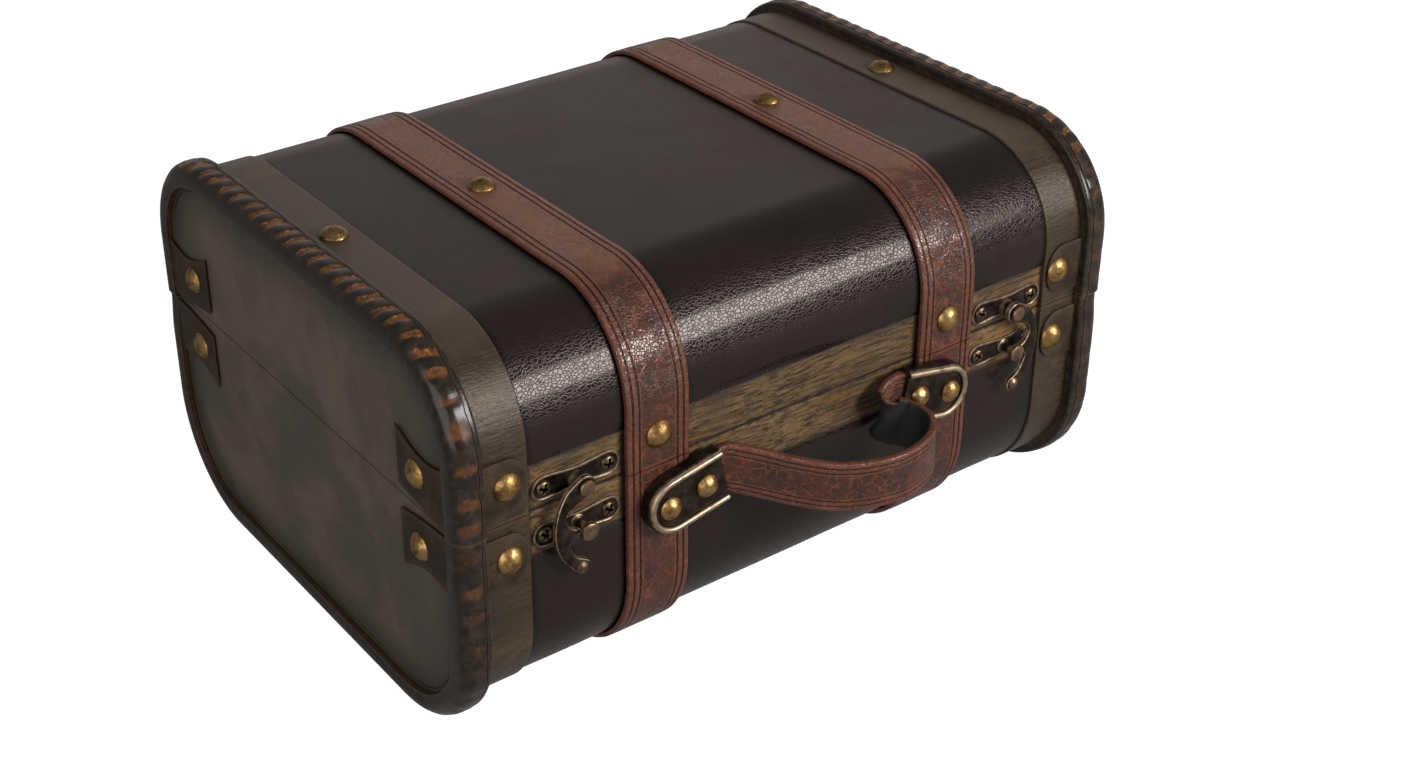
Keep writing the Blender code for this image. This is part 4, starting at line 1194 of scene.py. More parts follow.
def makeStrap(part, side):
    middle, half, deep = sides[side] * strap["middle"], strap["width"] / 2, strap["outer"] + strap["grooveDepth"]
    grooves = [sign * (half - place) for sign in (-1, 1) for place in strap["grooves"]]
    section = strapSection(grooves)
    stations = outline(part, suitcase["seamGap"] / 2, 1.6 * mm)
    total, seed = stations[-1][2], 40 + 5 * ups[part] + sides[side]

    def across(x, length):
        return middle + x * strap["squeeze"] + strap["sway"] * wander(seed, length, 0.02)

    def bend(x, inset, length, column):
        if inset >= strap["inner"]:
            return middle + x * strap["squeeze"], inset
        uneven = strap["uneven"] * (0.5 + noise.noise(Vector((x * 90, length * 90, seed))))
        uneven = max(uneven, 0.0) if inset < strap["inner"] - 0.5 * mm else 0.0
        return across(x, length), inset + uneven + strap["puff"] * abs(x / half) ** 4

    sunk = [float(abs(inset - deep) < 0.01 * mm and abs(x) < half - strap["round"]) for x, inset in section]
    shape, name, node = carried(section, stations, bend), f"{part}_belt_{side}", f"{part}_strap_{side}"
    values = {"groove": sunk * len(stations)}
    relieve(makePiece(name, shape, "brown_strap", part, node, sharp=55, values=values), part)
    shapes, inset = [], strap["outer"] + strap["grooveDepth"] * 0.75 + 0.1 * mm
    for column, place in enumerate(grooves):
        for i in range(int((total - strap["bareEnds"]) / stitch["pitch"])):
            length = strap["firstStitch"] + stitch["pitch"] * (i + 0.5)
            here, there = stationAt(stations, length), stationAt(stations, length + 0.5 * mm)
            x = across(place, length) + 0.12 * mm * wander(seed + column, length, 0.004)
            start, end = onOutline(here, x, inset), onOutline(there, x, inset)
            shapes.append(stitchShape(start, (end - start).normalized(), Vector((0.0, here[1].x, here[1].y))))
    makePiece(f"{part}_belt_stitches_{side}", joined(shapes), "brown_strap", part, None, threadFinish)


# Domed heads of nails and rivets, beaten a little out of round
stud = {
    "radius": 5.0 * mm,
    "height": 3.0 * mm,
    "fromSeam": 13.2 * mm,
    "fromEnd": {"left": 19.4 * mm, "right": 21.6 * mm},
    "endShare": 0.61,
    "endHeight": 0.85,
    "dents": ((420, 0, 0.14 * mm), (900, 5, 0.06 * mm)),
    "deepest": 0.16 * mm,
}
outOf = {
    "front": Matrix.Rotation(pi / 2, 4, "X"),
    "back": Matrix.Rotation(-pi / 2, 4, "X"),
    "top": Matrix.Identity(4),
    "left": Matrix.Rotation(-pi / 2, 4, "Y"),
    "right": Matrix.Rotation(pi / 2, 4, "Y"),
}


def domeShape(radius, height, place, toward, seed, foot=0.5 * mm):
    ball = (radius**2 + height**2) / (2 * height)
    reach = asin(min(radius / ball, 1.0))
    profile = [(radius * 0.97, -foot), (radius * 0.995, 0.0)]
    for share in np.linspace(0.985, 0.04, 13):
        profile.append((ball * sin(reach * share), height - ball + ball * cos(reach * share)))
    rows = []
    for away, level in profile:
        row = []
        for c, s in circle(32):
            x, y = away * c, away * s
            dents = (noise.noise(Vector((x * f, y * f, seed + more))) * deep for f, more, deep in stud["dents"])
            dent = sum(dents)
            sink = (stud["deepest"] - dent) * smoothStep(0.0, height * 0.5, level) if level > 0 else 0.0
            out = 0.98 + 0.02 * noise.noise(Vector((c * 1.5, s * 1.5, seed)))
            row.append((x * out, y * out, level - max(sink, 0.0)))
        rows.append(row)
    return moved(skin(rows), Matrix.Translation(place) @ outOf[toward])


# Corner tabs: a tongue on the face, another on the end board
tab = {
    "thickness": 0.6 * mm,
    "outer": 3.2 * mm,
    "frontTip": 26.2 * mm,
    "endLength": 28.0 * mm,
    "endFront": 1.1 * mm,
    "low": 1.6 * mm,
    "high": 20.5 * mm,
    "tipRise": 3.0 * mm,
    "dip": 3.0 * mm,
    "pointShare": 0.9,
    "soft": 0.25 * mm,
    "tucked": {"face": 0.5 * mm, "end": 0.4 * mm},
    "steps": 22,
}


def tabTongue(part, side, face, stretch):
    half, soft, studAt = (tab["high"] - tab["low"]) / 2, tab["soft"], stud["fromEnd"]["left"]
    start, tuckedEnd = rim["width"] - tab["tucked"]["face"], tab["tucked"]["end"]
    rows = []
    for i in range(tab["steps"] + 1):
        share = i / tab["steps"]
        if stretch == "face":
            distance = start + (tab["frontTip"] - start) * share
            past = max(distance - studAt, 0.0) / (tab["frontTip"] - studAt)
            rise = half * sqrt(1 - tab["pointShare"] * past**2)
            low, high = max(stud["fromSeam"] - rise, tab["low"]), stud["fromSeam"] + rise
        else:
            rise = tab["tipRise"] * share**2
            low, high = tab["low"] + rise, stud["fromSeam"] + half + rise - tab["dip"] * sin(pi * share)
        across = [(low, 0.0), (low, 0.75), (low + soft, 1.0)]
        across += [(low + (high - low) * s, 1.0) for s in (0.25, 0.5, 0.75)]
        row = []
        for level, thick in across + [(high - soft, 1.0), (high, 0.75), (high, 0.0)]:
            thin = tab["thickness"] * (1 - (0.7 if i == tab["steps"] and thick == 1.0 else thick))
            if stretch == "face":
                away, inset = distance, tab["outer"] + thin
            else:
                away = tab["endFront"] + thin
                inset = rim["flange"] - tuckedEnd + (tab["endLength"] + tuckedEnd) * share
            row.append((fromEnd(side, away), fromFace(face, inset), fromSeam(part, level)))
        rows.append(row)
    return skin(rows)


def makeTab(part, side, face):
    node, level = f"{part}_tab_{face}_{side}", fromSeam(part, stud["fromSeam"])
    leather = joined([tabTongue(part, side, face, stretch) for stretch in ("face", "end")])
    makePiece(f"{part}_tongue_{face}_{side}", leather, "tab_leather", part, node, sharp=50)
    radius, height, seed = stud["radius"], stud["height"], ups[part] * 3 + sides[side] * 5 + faces[face] * 7
    place = (fromEnd(side, stud["fromEnd"][side]), fromFace(face, tab["outer"]), level)
    onFace = domeShape(radius, height, place, face, seed)
    inward = rim["flange"] + tab["endLength"] * stud["endShare"]
    place = (fromEnd(side, tab["endFront"]), fromFace(face, inward), level)
    onEnd = domeShape(radius, height * stud["endHeight"], place, side, seed + 1)
    makePiece(f"{part}_tab_studs_{face}_{side}", joined([onFace, onEnd]), "brass", part, node)


def makeSkinStuds():
    for side in sides:
        for node in (f"band_stud_{side}", f"strap_stud_top_{side}", f"strap_stud_front_{side}"):
            low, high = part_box(node)
            middle, height, front = (low + high) / 2, stud["height"], "front" in node
            place = (middle.x, low.y + height, middle.z) if front else (middle.x, middle.y, high.z - height)
            toward, finish = ("front", None) if front else ("top", dullBrass)
            shape = domeShape(stud["radius"], height, place, toward, middle.x * 50 + front * 3)
            makePiece(f"{node}_head", shape, "brass", "lid", node, finish)


for part in ups:
    for side in sides:
        for make in (makeBoard, makeBand, makeRim, makeStrap):
            make(part, side)
        for face in faces:
            makeTab(part, side, face)
    for face in faces:
        makeRail(part, face)
    makeCover(part)
makeSkinStuds()
print("walls, mouldings, straps and studs made")


# Plates, screws and hooks of the latches
latch = {
    "screwSpacing": 23.6 * mm,
    "lobe": 4.4 * mm,
    "waist": 3.4 * mm,
    "plate": 1.0 * mm,
    "inset": 5.5 * mm,
    "border": 0.9 * mm,
    "soft": 0.25 * mm,
    "sunk": 0.35 * mm,
    "pivotRise": 5.4 * mm,
    "postDrop": 9.8 * mm,
    "shank": 1.5 * mm,
    "collarHeight": 3.0 * mm,
    "hookThickness": 2.0 * mm,
    "eye": 3.7 * mm,
    "reach": 11.4 * mm,
    "gap": 0.3 * mm,
    "thumb": (2.1 * mm, 1.1 * mm),
    "lip": 1.2 * mm,
}
screw = {"radius": 2.6 * mm, "height": 0.8 * mm, "slot": 0.46 * mm, "slotReach": 1.8 * mm, "slotDepth": 0.6 * mm}
plateFront = fromFace("front", latch["inset"]) - latch["plate"]


# A round head with a cross sunk into it, and its edge marks: -1 in the cross, more towards the middle
def screwShape(place, toward, spin, height=screw["height"], count=64, steps=16):
    radius, reach = screw["radius"], screw["slotReach"]
    rows, edges = [[(x, y, -0.4 * mm) for x, y in circle(count, radius)]], [0.0] * count
    for k in range(steps + 1):
        away = max(radius * (1 - k / steps), 0.05 * mm)
        share = away / radius
        row = []
        for x, y in circle(count, away):
            level = height * (1 - share**2.6) ** 0.6 if share < 1 else 0.0
            near, far = sorted((abs(x), abs(y)))
            inArm = near < screw["slot"] and far < reach
            edges.append(-1.0 if inArm else 0.2 + 0.5 * smoothStep(0.9, 0.3, share))
            row.append((x, y, level - inArm * screw["slotDepth"] * (1 - 0.4 * far / reach)))
        rows.append(row)
    matrix = Matrix.Translation(place) @ outOf[toward] @ Matrix.Rotation(spin, 4, "Z")
    return moved(skin(rows), matrix), edges


# Outline of a narrow plate with a round lobe at each end, shrunk by an inset
def lobedLine(inset, steps=16):
    span, lobe, waist = latch["screwSpacing"] / 2, latch["lobe"] - inset, latch["waist"] - inset
    half = arcPoints((span, 0.0), lobe, -pi / 2, pi / 2, steps)
    for i in range(1, steps):
        share = 1 - 2 * i / steps
        half.append((span * share, waist + (lobe - waist) * share**2 * (3 - 2 * abs(share))))
    return half + [(-x, -z) for x, z in half]


def plateShape(x, z):
    thick, border, sunk, soft = latch["plate"], latch["border"], latch["sunk"], latch["soft"]
    rings = [(0.0, 0.0)] + eased(0.0, thick, soft, 1, -1) + [(border - soft, thick), (border, thick - sunk * 0.6)]
    rings += [(border + soft, thick - sunk), (border + latch["lip"], thick - sunk)]
    back = plateFront + thick
    return skin([[(x + dx, back - out, z + dz) for dx, dz in lobedLine(inset)] for inset, out in rings])


def headShape(radius, height, start, squareness):
    profile = [(0.92, 0.0), (1.0, 0.12), (1.0, 0.65), (0.93, 0.8775), (0.78, 1.0), (0.4, 1.0), (0.08, 0.99)]
    return turnedShape([(radius * away, start + height * level) for away, level in profile], 28, squareness)


# Above the seam the plate with the hook's pivot, below it the keeper with its post. foot is the (radius, height)
# of the step under the stem and footShares say where it bends. screwTurns are a turn for both screws and one by side
plates = {
    "latch_plate": {
        "names": ("latch_backplate", "latch_screws", "latch_rivet"),
        "body": "lid",
        "rise": 6.6 * mm,
        "stemRise": latch["pivotRise"],
        "foot": (3.0 * mm, latch["collarHeight"]),
        "footShares": (0.8, 0.92, 1.0),
        "head": (2.7 * mm, 1.1 * mm),
        "squareness": 0.0,
        "headTurn": 0.0,
        "screwTurns": (0.5, 0.9),
    },
    "latch_keeper": {
        "names": ("keeper_backplate", "keeper_screws", "keeper_post_head"),
        "body": "base",
        "rise": -10.2 * mm,
        "stemRise": -latch["postDrop"],
        "foot": (2.4 * mm, 0.9 * mm),
        "footShares": (0.35, 0.86, 0.7),
        "head": (3.2 * mm, 2.2 * mm),
        "squareness": 0.14,
        "headTurn": 0.5,
        "screwTurns": (0.2, -0.7),
    },
}


def makePlate(kind, side):
    plate, node, x = plates[kind], f"{kind}_{side}", joints[f"latch_hook_{side}_swing"][0]
    level, (turn, against) = suitcase["seam"] + plate["rise"], plate["screwTurns"]
    screws = []
    for shift in (-1, 1):
        place = (x + shift * latch["screwSpacing"] / 2, plateFront + latch["sunk"], level)
        screws.append(screwShape(place, "front", turn + against * shift, screw["height"] + latch["sunk"]))
    (foot, height), (low, thin, high), shank = plate["foot"], plate["footShares"], latch["shank"]
    top = latch["collarHeight"] + latch["hookThickness"] + 2 * latch["gap"]
    profile = [(foot, -0.5 * mm), (foot, height * low), (foot * thin, height * high), (shank, height), (shank, top)]
    matrix = Matrix.Translation((x, plateFront, suitcase["seam"] + plate["stemRise"])) @ outOf["front"]
    stem = moved(turnedShape(profile, 32), matrix)
    matrix = matrix @ Matrix.Rotation(plate["headTurn"], 4, "Z")
    head = moved(headShape(*plate["head"], top, plate["squareness"]), matrix)
    edges = [edge for _, marks in screws for edge in marks]
    slotted, heads = joined([shape for shape, _ in screws]), {"edge": edges}
    backName, screwName, headName = (f"{name}_{side}" for name in plate["names"])
    makePiece(backName, joined([plateShape(x, level), stem]), "bronze", plate["body"], node, sharp=32)
    makePiece(screwName, slotted, "bronze", plate["body"], node, screwFinish, 32, heads)
    makePiece(headName, head, "bronze", plate["body"], node, copperFinish, 32)


# Outline of the hook: angles round its eye, then (share of the reach, share of the drop). None is the post's notch
hookLine = {
    "eye": (-40, 10, 50, 90, 130),
    "back": [(0.58, 0.0), (0.82, 0.29), (0.96, 0.62), (1.0, 0.94), (0.94, 1.27), (0.75, 1.59), (0.47, 1.86)],
    "thumb": [(0.22, 2.04), (0.02, 2.065), (-0.12, 1.95), (-0.06, 1.79), (0.11, 1.71), (0.33, 1.60), (0.47, 1.42)],
    "nose": [(0.55, 1.23), (0.41, 1.10), None, (0.40, 0.90)],
    "belly": [(0.58, 0.79), (0.65, 0.61), (0.56, 0.45), (0.33, 0.36)],
    "thumbPlace": (0.16, 1.90),
    "round": 0.55 * mm,
    "sharp": 40,
}


def smoothLoop(points, steps):
    count, points = len(points), [Vector(point) for point in points]
    around = [[points[(i + k - 1) % count] for k in range(4)] for i in range(count)]
    return [curvePoint(*four, step / steps) for four in around for step in range(steps)]


def shrunk(loop, distance):
    alongs = [(after - before).normalized() for before, after in zip(loop[-1:] + loop[:-1], loop[1:] + loop[:1])]
    return [place + Vector((-along.y, along.x)) * distance for place, along in zip(loop, alongs)]


def makeHook(side):
    pivotX, level = joints[f"latch_hook_{side}_swing"][0], suitcase["seam"] + latch["pivotRise"]
    drop, reach, hole = latch["pivotRise"] + latch["postDrop"], latch["reach"], latch["shank"] + latch["gap"]
    points = [(-latch["eye"] * cos(radians(a)), latch["eye"] * sin(radians(a))) for a in hookLine["eye"]]
    for pair in hookLine["back"] + hookLine["thumb"] + hookLine["nose"] + hookLine["belly"]:
        points.append((hole + latch["gap"], -drop) if pair is None else (pair[0] * reach, -pair[1] * drop))
    loop = smoothLoop(points, 6)
    area = sum(a.x * b.y - b.x * a.y for a, b in zip(loop, loop[1:] + loop[:1]))
    thick, soft, inward = latch["hookThickness"], hookLine["round"], 1 if area > 0 else -1
    back = plateFront - latch["collarHeight"] - latch["gap"]
    rings = [(0.2 * mm, 0.0), (0.0, 0.2 * mm), (0.0, thick - soft)]
    outer = []
    for inset, out in rings + [(soft * 0.3, thick - soft * 0.35), (soft, thick)]:
        ring = shrunk(loop, inset * inward)
        outer.append([(pivotX + sides[side] * p.x, back - out, level + p.y) for p in ring])
    inner = []
    for away, out in ((hole + 0.25 * mm, thick), (hole, thick - 0.25 * mm), (hole, 0.0)):
        inner.append([(pivotX + x, back - out, level + z) for x, z in circle(32, away)])
    body = node = f"latch_hook_{side}"
    shape = joined([skin(outer, True, False), skin(inner, True, False)])
    piece = makePiece(f"swing_hook_{side}", shape, "bronze", body, node, sharp=hookLine["sharp"])

    def closeFaces(form):
        for depth in (back - thick, back):
            edges = [e for e in form.edges if e.is_boundary and all(abs(v.co.y - depth) < 1e-6 for v in e.verts)]
            bmesh.ops.triangle_fill(form, use_beauty=True, edges=edges)
        bmesh.ops.recalc_face_normals(form, faces=form.faces)

    editMesh(piece.data, closeFaces)
    piece.data.shade_smooth()
    piece.data.set_sharp_from_angle(angle=radians(hookLine["sharp"]))
    away, down = hookLine["thumbPlace"]
    place = (pivotX + sides[side] * away * reach, back - thick, level - down * drop)
    thumb = domeShape(*latch["thumb"], place, "front", 2.0, 0.6 * mm)
    makePiece(f"hook_thumb_{side}", thumb, "bronze", body, node, copperFinish)


# Hinges: each leaf is rolled round the pin and screwed to the back rail
hinge = {
    "fromMiddle": 90.0 * mm,
    "leafWidth": 26.0 * mm,
    "leafHeight": 12.5 * mm,
    "cornerRadius": 1.5 * mm,
    "thickness": 0.9 * mm,
    "border": 1.1 * mm,
    "screws": 14.4 * mm,
    "pinRadius": 1.1 * mm,
    "pinHead": (1.7 * mm, 1.0 * mm),
    "knuckleShare": 1 / 3,
    "gap": 0.3 * mm,
}


def makeLeaf(part, side):
    gap, thick, soft = hinge["gap"], hinge["thickness"], 0.2 * mm
    inner = hinge["pinRadius"] + gap
    outer = inner + thick
    back, root, middle = hingeY - outer, outer + gap, sides[side] * hinge["fromMiddle"]
    half, knuckle = hinge["leafWidth"] / 2, hinge["leafWidth"] * hinge["knuckleShare"] / 2
    outside, inside = (arcPoints((hingeY, 0.0), radius, pi, 2.5 * pi, 30) for radius in (outer, inner))
    flat = [(back, root), (back, 0.0)] + outside + inside[::-1] + [(back + thick, 0.0), (back + thick, root)]
    spans = [(-half, -knuckle - gap), (knuckle + gap, half)] if part == "base" else [(-knuckle, knuckle)]
    shapes = []
    for low, high in spans:
        xs = (low, low + 0.15 * mm, high - 0.15 * mm, high)
        shapes.append(skin([[(middle + x, y, fromSeam(part, z)) for y, z in flat] for x in xs]))
    low, high, radius = root - 0.05 * mm, hinge["leafHeight"], hinge["cornerRadius"]
    plan = [(-half, low), (half, low)] + arcPoints((half - radius, high - radius), radius, 0, pi / 2, 6)
    plan += arcPoints((radius - half, high - radius), radius, pi / 2, pi, 6)
    rows = []
    for inset, out in [(0.0, 0.0)] + eased(0.0, thick, soft, 1, -1) + [(soft + hinge["border"], thick)]:
        narrow, short = 1 - inset / half, 1 - inset / (high - low)
        rows.append([(middle + x * narrow, back + out, fromSeam(part, low + (z - low) * short)) for x, z in plan])
    shapes.append(skin(rows))
    for shift in (-1, 1):
        place = (middle + shift * hinge["screws"] / 2, back + thick, fromSeam(part, (high + outer) / 2))
        shapes.append(screwShape(place, "back", 0.3 + shift * ups[part])[0])
    makePiece(f"{part}_hinge_plate_{side}", joined(shapes), "bronze", part, f"{part}_hinge_leaf_{side}", sharp=35)


def makePin(side):
    reach, (radius, length) = hinge["leafWidth"] / 2 + hinge["gap"], hinge["pinHead"]
    shares, shank = ((0.6, 1.0), (0.92, 0.8), (1.0, 0.4), (1.0, 0.0)), hinge["pinRadius"]
    head = [(radius * wide, -reach - length * high) for wide, high in shares]
    profile = head + [(shank, -reach), (shank, reach)] + [(r, -z) for r, z in reversed(head)]
    matrix = Matrix.Translation((sides[side] * hinge["fromMiddle"], hingeY, suitcase["seam"])) @ outOf["right"]
    makePiece(f"hinge_rod_{side}", moved(turnedShape(profile, 20), matrix), "bronze", "base", f"hinge_pin_{side}")


for side in sides:
    for kind in plates:
        makePlate(kind, side)
    makeHook(side)
    makePin(side)
    for part in ups:
        makeLeaf(part, side)
print("latches and hinges made")


# The slack handle: its ends lie under two plates, its middle bellies out and folds over.
# route gives the middle line from left to right: shares of the inner end, of the reach outwards and of the drop
handle = {
    "width": 18.0 * mm,
    "thickness": 3.0 * mm,
    "edge": 0.7 * mm,
    "reach": 28.5 * mm,
    "drop": 4.0 * mm,
    "straight": 3.0 * mm,
    "endTurn": radians(74),
    "level": 69.6 * mm,
    "tilt": radians(11),
    "plateMiddle": 53.0 * mm,
    "plateLength": 30.0 * mm,
    "plateWidth": 21.0 * mm,
    "innerEnd": 38.0 * mm,
    "middleInset": 0.9 * mm,
    "grooves": (1.9 * mm, 3.7 * mm),
    "grooveWidth": 0.7 * mm,
    "grooveDepth": 0.35 * mm,
    "squeeze": 0.99,
    "uneven": 0.12 * mm,
    "bareEnds": 22 * mm,
    "route": [
        (-0.74, 0.19, -0.40),
        (-0.47, 0.50, 0.35),
        (-0.18, 0.78, 0.88),
        (0.16, 0.965, 1.0),
        (0.47, 1.0, 1.0),
        (0.76, 0.88, 1.0),
        (0.94, 0.66, 1.0),
        (0.985, 0.43, 0.95),
        (0.92, 0.245, 0.75),
        (0.84, 0.17, 0.45),
        (0.775, 0.095, 0.05),
        (0.84, 0.02, -0.35),
    ],
}
roundCentre = handle["innerEnd"] + handle["plateLength"] - handle["plateWidth"] / 2
handleY = fromFace("front", handle["middleInset"])
plateFlats = [handle["innerEnd"] + shift for shift in (12 * mm, 6 * mm, 0.0)]


def platePoint(side, distance, across=0.0):
    lean, rise, away = cos(handle["tilt"]), sin(handle["tilt"]), distance - handle["plateMiddle"]
    x = sides[side] * (handle["plateMiddle"] + away * lean + across * rise)
    return x, handle["level"] - away * rise + across * lean


def openCurve(points, steps):
    points = points[:1] + points + points[-1:]
    fours = zip(points, points[1:], points[2:], points[3:])
    return [curvePoint(*four, step / steps) for four in fours for step in range(steps)] + [points[-1]]


# Stations of the handle: (middle, half of its width there)
def handleStations():
    half = handle["width"] / 2
    turns = [handle["endTurn"] * (1 - i / 8) for i in range(9)]
    end = [(roundCentre + half * sin(turn), half * cos(turn)) for turn in turns]
    end += [(place, half) for place in plateFlats + [handle["innerEnd"] - handle["straight"]]]
    ends = {}
    for side in sides:
        places = [platePoint(side, distance) for distance, _ in end]
        ends[side] = [(Vector((x, handleY, z)), width) for (x, z), (_, width) in zip(places, end)]
    route = [point for point, _ in ends["left"][-2:]]
    for along, out, down in handle["route"]:
        x, y, z = along * handle["innerEnd"], out * handle["reach"], down * handle["drop"]
        route.append(Vector((x, handleY - y, handle["level"] - z)))
    route += [point for point, _ in ends["right"][:-3:-1]]
    return ends["left"][:-2] + [(point, half) for point in openCurve(route, 10)] + ends["right"][-3::-1]


# Half of the handle's outer face at a station, from its edge to its middle: (across, out)
def handleFace(half):
    deep, wide, low = handle["thickness"] / 2, handle["grooveWidth"] / 2, handle["grooveDepth"]
    face, scale = eased(half, deep, handle["edge"], -1, -1), half / (handle["width"] / 2)
    for place in handle["grooves"]:
        for shift, down in ((-wide, 0.0), (-wide / 3, low), (wide / 3, low), (wide, 0.0)):
            face.append((half - (place + shift) * scale, deep - down))
    return face + [(half * share, deep) for share in (0.45, 0.22, 0.0)]


def makeHandle():
    stations = handleStations()
    deep, low = handle["thickness"] / 2, handle["grooveDepth"]
    lengths = travelledVectors([middle for middle, _ in stations])
    frames, rows = [], []
    for i, (middle, half) in enumerate(stations):
        along = (stations[min(i + 1, len(stations) - 1)][0] - stations[max(i - 1, 0)][0]).normalized()
        out = Vector((along.y, -along.x, 0.0)).normalized()
        up = out.cross(along)
        frames.append((middle, half, along, out, up))
        face, back = handleFace(half), eased(half, -deep, handle["edge"], -1, 1)[::-1]
        face += [(-a, b) for a, b in face[-2::-1]]
        back = [(-a, b) for a, b in reversed(back)] + [(half * s, -deep) for s in (-0.6, -0.2, 0.2, 0.6)] + back
        row = []
        for a, b in face + back:
            front = b > 0
            wave = handle["uneven"] * noise.noise(Vector((lengths[i] * 120, a * 120, 3.0 if front else 8.0)))
            row.append(middle + out * (b - (0.1 * mm + wave) * (1 if front else -1)) + up * a * handle["squeeze"])
        rows.append(row)
    grooved = [float(abs(b - deep + low) < 0.01 * mm) for _, b in face] + [0.0] * len(back)
    shape, values = skin(rows, alongs=lengths), {"groove": grooved * len(rows)}
    piece = makePiece("handle_leather", shape, "brown_strap", "base", "handle_strap", handleOutside, 50, values)
    piece.data.materials.append(handleInside)
    for polygon in piece.data.polygons:
        if len(polygon.vertices) == 4 and min(i % len(row) for i in polygon.vertices) >= len(face):
            polygon.material_index = 1
    shapes = []
    for place, sign in ((place, sign) for place in handle["grooves"] for sign in (-1, 1)):
        for start in np.arange(handle["bareEnds"], lengths[-1] - handle["bareEnds"], stitch["pitch"]):
            i = int(np.searchsorted(lengths, start))
            middle, half, along, out, up = frames[i]
            share = (start - lengths[i - 1]) / (lengths[i] - lengths[i - 1])
            middle = frames[i - 1][0].lerp(middle, share)
            base = middle + out * (deep - low - 0.05 * mm) + up * sign * (half - place) * handle["squeeze"]
            shapes.append(stitchShape(base, along, out))
    makePiece("handle_stitches", joined(shapes), "brown_strap", "base", None, threadFinish)


# Plates over the handle's ends. Each is a D: round outwards, open towards the handle
endPlate = {
    "wall": 2.7 * mm,
    "floor": 1.0 * mm,
    "lip": 1.1 * mm,
    "gap": 0.3 * mm,
    "lean": 0.5 * mm,
    "lipSteps": 9,
    "lipWear": 0.8,
    "floorReach": 1.0 * mm,
}
strapFace = fromFace("front", strap["outer"]) - endPlate["gap"]


def plateLine(side, inset, steps=22):
    radius = handle["plateWidth"] / 2 - inset
    turns = [pi / 2 - pi * i / steps for i in range(steps + 1)]
    places = [(place, radius) for place in plateFlats[::-1]]
    places += [(roundCentre + radius * cos(a), radius * sin(a)) for a in turns]
    places += [(place, -radius) for place in plateFlats]
    return [platePoint(side, distance, across) for distance, across in places]


def makeEndPlate(side):
    wall, lean, reach = endPlate["wall"], endPlate["lean"], endPlate["wall"] + endPlate["floorReach"]
    cavity = handle["thickness"] + endPlate["gap"]
    floor, half = cavity + endPlate["floor"], (wall - lean) / 2
    lip, turns = floor + endPlate["lip"] - half, np.linspace(0.0, pi * 0.92, endPlate["lipSteps"])
    foot = [(0.0, 0.0), (0.0, floor - 0.6 * mm), (lean * 0.6, floor - 0.2 * mm)]
    outer = foot + [(lean + half - half * cos(a), lip + half * sin(a)) for a in turns]
    outer += [(wall + 0.05 * mm, floor - 0.15 * mm), (wall + 0.4 * mm, floor), (reach, floor)]
    section = outer + [(reach, cavity), (wall, cavity), (wall, 0.0)]
    rows = [[(x, strapFace - out, z) for x, z in plateLine(side, inset)] for inset, out in section]
    points, polygons, corners = skin(rows, False, False)
    wide, count = len(rows[0]), len(rows)
    under = len(outer) * wide
    top, last = under - wide, (count - 1) * wide
    extras = [range(top, under), range(under, under + wide)]
    extras += [range(first, count * wide, wide) for first in (0, wide - 1)]
    extras.append((top, under, under + wide - 1, under - 1))
    extras += [(k, k + 1, last + k + 1, last + k) for k in range(wide - 1)]
    for extra in extras:
        polygons.append(tuple(extra))
        corners += [(points[i][0], points[i][2]) for i in extra]
    lipRows = range(len(foot), len(foot) + endPlate["lipSteps"])
    edges = [endPlate["lipWear"] * (row in lipRows) for row in range(count) for _ in range(wide)]
    shape, values = (points, polygons, corners), {"edge": edges}
    makePiece(f"handle_cap_{side}", shape, "bronze", "base", f"handle_plate_{side}", sharp=32, values=values)


def makeRivets(side, height=2.6 * mm):
    for place in ("inner", "outer"):
        node = f"handle_rivet_{side}_{place}"
        low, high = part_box(node)
        middle = ((low.x + high.x) / 2, low.y + height, (low.z + high.z) / 2)
        shape = domeShape((high.x - low.x) / 2, height, middle, "front", middle[0] * 90)
        makePiece(f"{node}_head", shape, "brass", "base", node)


makeHandle()
for make in (makeEndPlate, makeRivets):
    for side in sides:
        make(side)
print("handle made")


# Linings: one cloth round the walls and one on each end, glued flat
lining = {
    "outer": 12.6 * mm,
    "thickness": 0.6 * mm,
    "endGap": 11.8 * mm,
    "below": 0.6 * mm,
    "steps": 60,
    "rings": 14,
}


def clothSheet(name, rows, part):
    piece = makePiece(name, skin(rows, False, False), "lining_cloth", part, f"{part}_lining")
    piece.modifiers.new("thickness", "SOLIDIFY").thickness = lining["thickness"]


def makeLining(part):
    thick, middleY, level = lining["thickness"], suitcase["middleY"], fromSeam(part, lining["below"])
    stations = outline(part, lining["below"], 3 * mm)
    reach, inset = suitcase["halfLength"] - lining["endGap"] - thick, lining["outer"] + thick / 2
    rows = [[onOutline(s, x, inset) for x in np.linspace(-reach, reach, lining["steps"])] for s in stations]
    clothSheet(f"{part}_wall_cloth", rows, part)
    for side in sides:
        x = fromEnd(side, lining["endGap"] + thick / 2)
        edge = [onOutline(s, x, inset + thick) for s in stations]
        rows = []
        for share in [1 - share for share in np.linspace(0.0, 1.0, lining["rings"])[:-1]] + [0.001]:
            rows.append([Vector((x, middleY + (p.y - middleY) * share, level + (p.z - level) * share)) for p in edge])
        clothSheet(f"{part}_end_cloth_{side}", rows, part)


for part in ups:
    makeLining(part)
    shell = frame["nodes"][f"{part}_shell"].data
    shell.materials.clear()
    shell.materials.append(finishes["plywood"])
print("linings made")


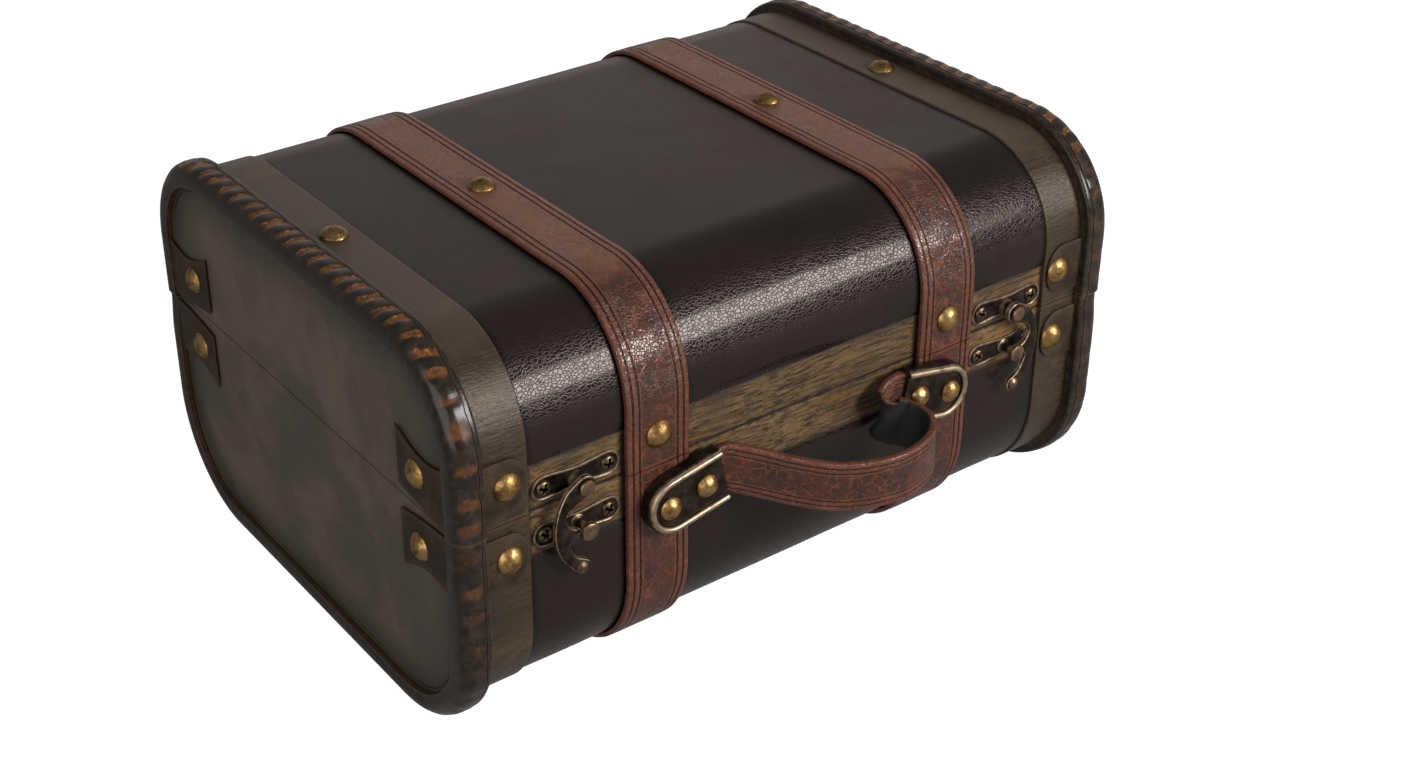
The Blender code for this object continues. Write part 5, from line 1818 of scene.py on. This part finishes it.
# Studio: a pale floor under a white background, a strip light at the front right, large cards behind and at the left
studio = {
    "worldStrength": 0.12,
    "floorWhite": 0.36,
    "floorGlow": 0.95,
    "floorRoughness": 0.9,
    "floorReach": 6.0,
    "mirroredFloor": 0.06,
    "mirroredWorld": 0.24,
    "aim": Vector((0.0, suitcase["middleY"], 70 * mm)),
}
lamps = {
    "strip": {
        "toward": (0.41, -0.812, 0.415),
        "distance": 1.2,
        "size": (0.6, 0.38),
        "radiance": 15.5,
        "colour": (1.0, 0.97, 0.94),
    },
    "behind": {
        "toward": (0.48, 0.73, 0.24),
        "distance": 1.6,
        "size": (2.6, 0.8),
        "radiance": 0.55,
        "colour": (1.0, 0.82, 0.78),
    },
    "left": {
        "toward": (-0.82, -0.48, 0.32),
        "distance": 1.3,
        "size": (1.1, 1.0),
        "radiance": 1.7,
        "colour": (1.0, 0.96, 0.92),
    },
}
white = (1.0, 1.0, 1.0, 1.0)


# White to the camera. Metal and leather see it too, but dimmer, as in a studio with the background far behind
def seenWhite(tree, seen, mirrored):
    rays = put("ShaderNodeLightPath", {}, tree).outputs
    reflected = larger(rays["Is Glossy Ray"], rays["Is Transmission Ray"])
    return larger(times(rays["Is Camera Ray"], seen), times(reflected, mirrored))


def makeFloor():
    low, reach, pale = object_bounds()[0][2] - 0.1 * mm, studio["floorReach"], studio["floorWhite"]
    data = bpy.data.meshes.new("studioFloor")
    corners = [(-reach, -reach, low), (reach, -reach, low), (reach, reach, low), (-reach, reach, low)]
    data.from_pydata(corners, [], [(0, 1, 2, 3)])
    material, tree, shader = newMaterial("studioWhite")
    shader.inputs["Base Color"].default_value = (pale, pale, pale, 1.0)
    shader.inputs["Roughness"].default_value = studio["floorRoughness"]
    shader.inputs["Emission Color"].default_value = white
    feed(shader.inputs["Emission Strength"], seenWhite(tree, studio["floorGlow"], studio["mirroredFloor"]))
    data.materials.append(material)
    addToScene("studioFloor", data)


def makeLamp(name, look):
    toward, (wide, high) = Vector(look["toward"]).normalized(), look["size"]
    data = bpy.data.lights.new(name, "AREA")
    data.shape = "RECTANGLE"
    data.size, data.size_y = wide, high
    data.energy = look["radiance"] * pi * wide * high
    data.color = look["colour"]
    lamp = addToScene(name, data)
    lamp.location = studio["aim"] + toward * look["distance"]
    lamp.rotation_euler = toward.to_track_quat("Z", "Y").to_euler()


def makeWorld():
    world = bpy.data.worlds.new("studioWorld")
    world.use_nodes = True
    background = world.node_tree.nodes["Background"]
    background.inputs["Color"].default_value = white
    strength = seenWhite(world.node_tree, 1.0, studio["mirroredWorld"])
    feed(background.inputs["Strength"], larger(strength, studio["worldStrength"]))
    bpy.context.scene.world = world


bpy.context.scene.view_settings.view_transform = "Standard"
makeCamera()
makeWorld()
makeFloor()
for name, look in lamps.items():
    makeLamp(name, look)
print("studio made")
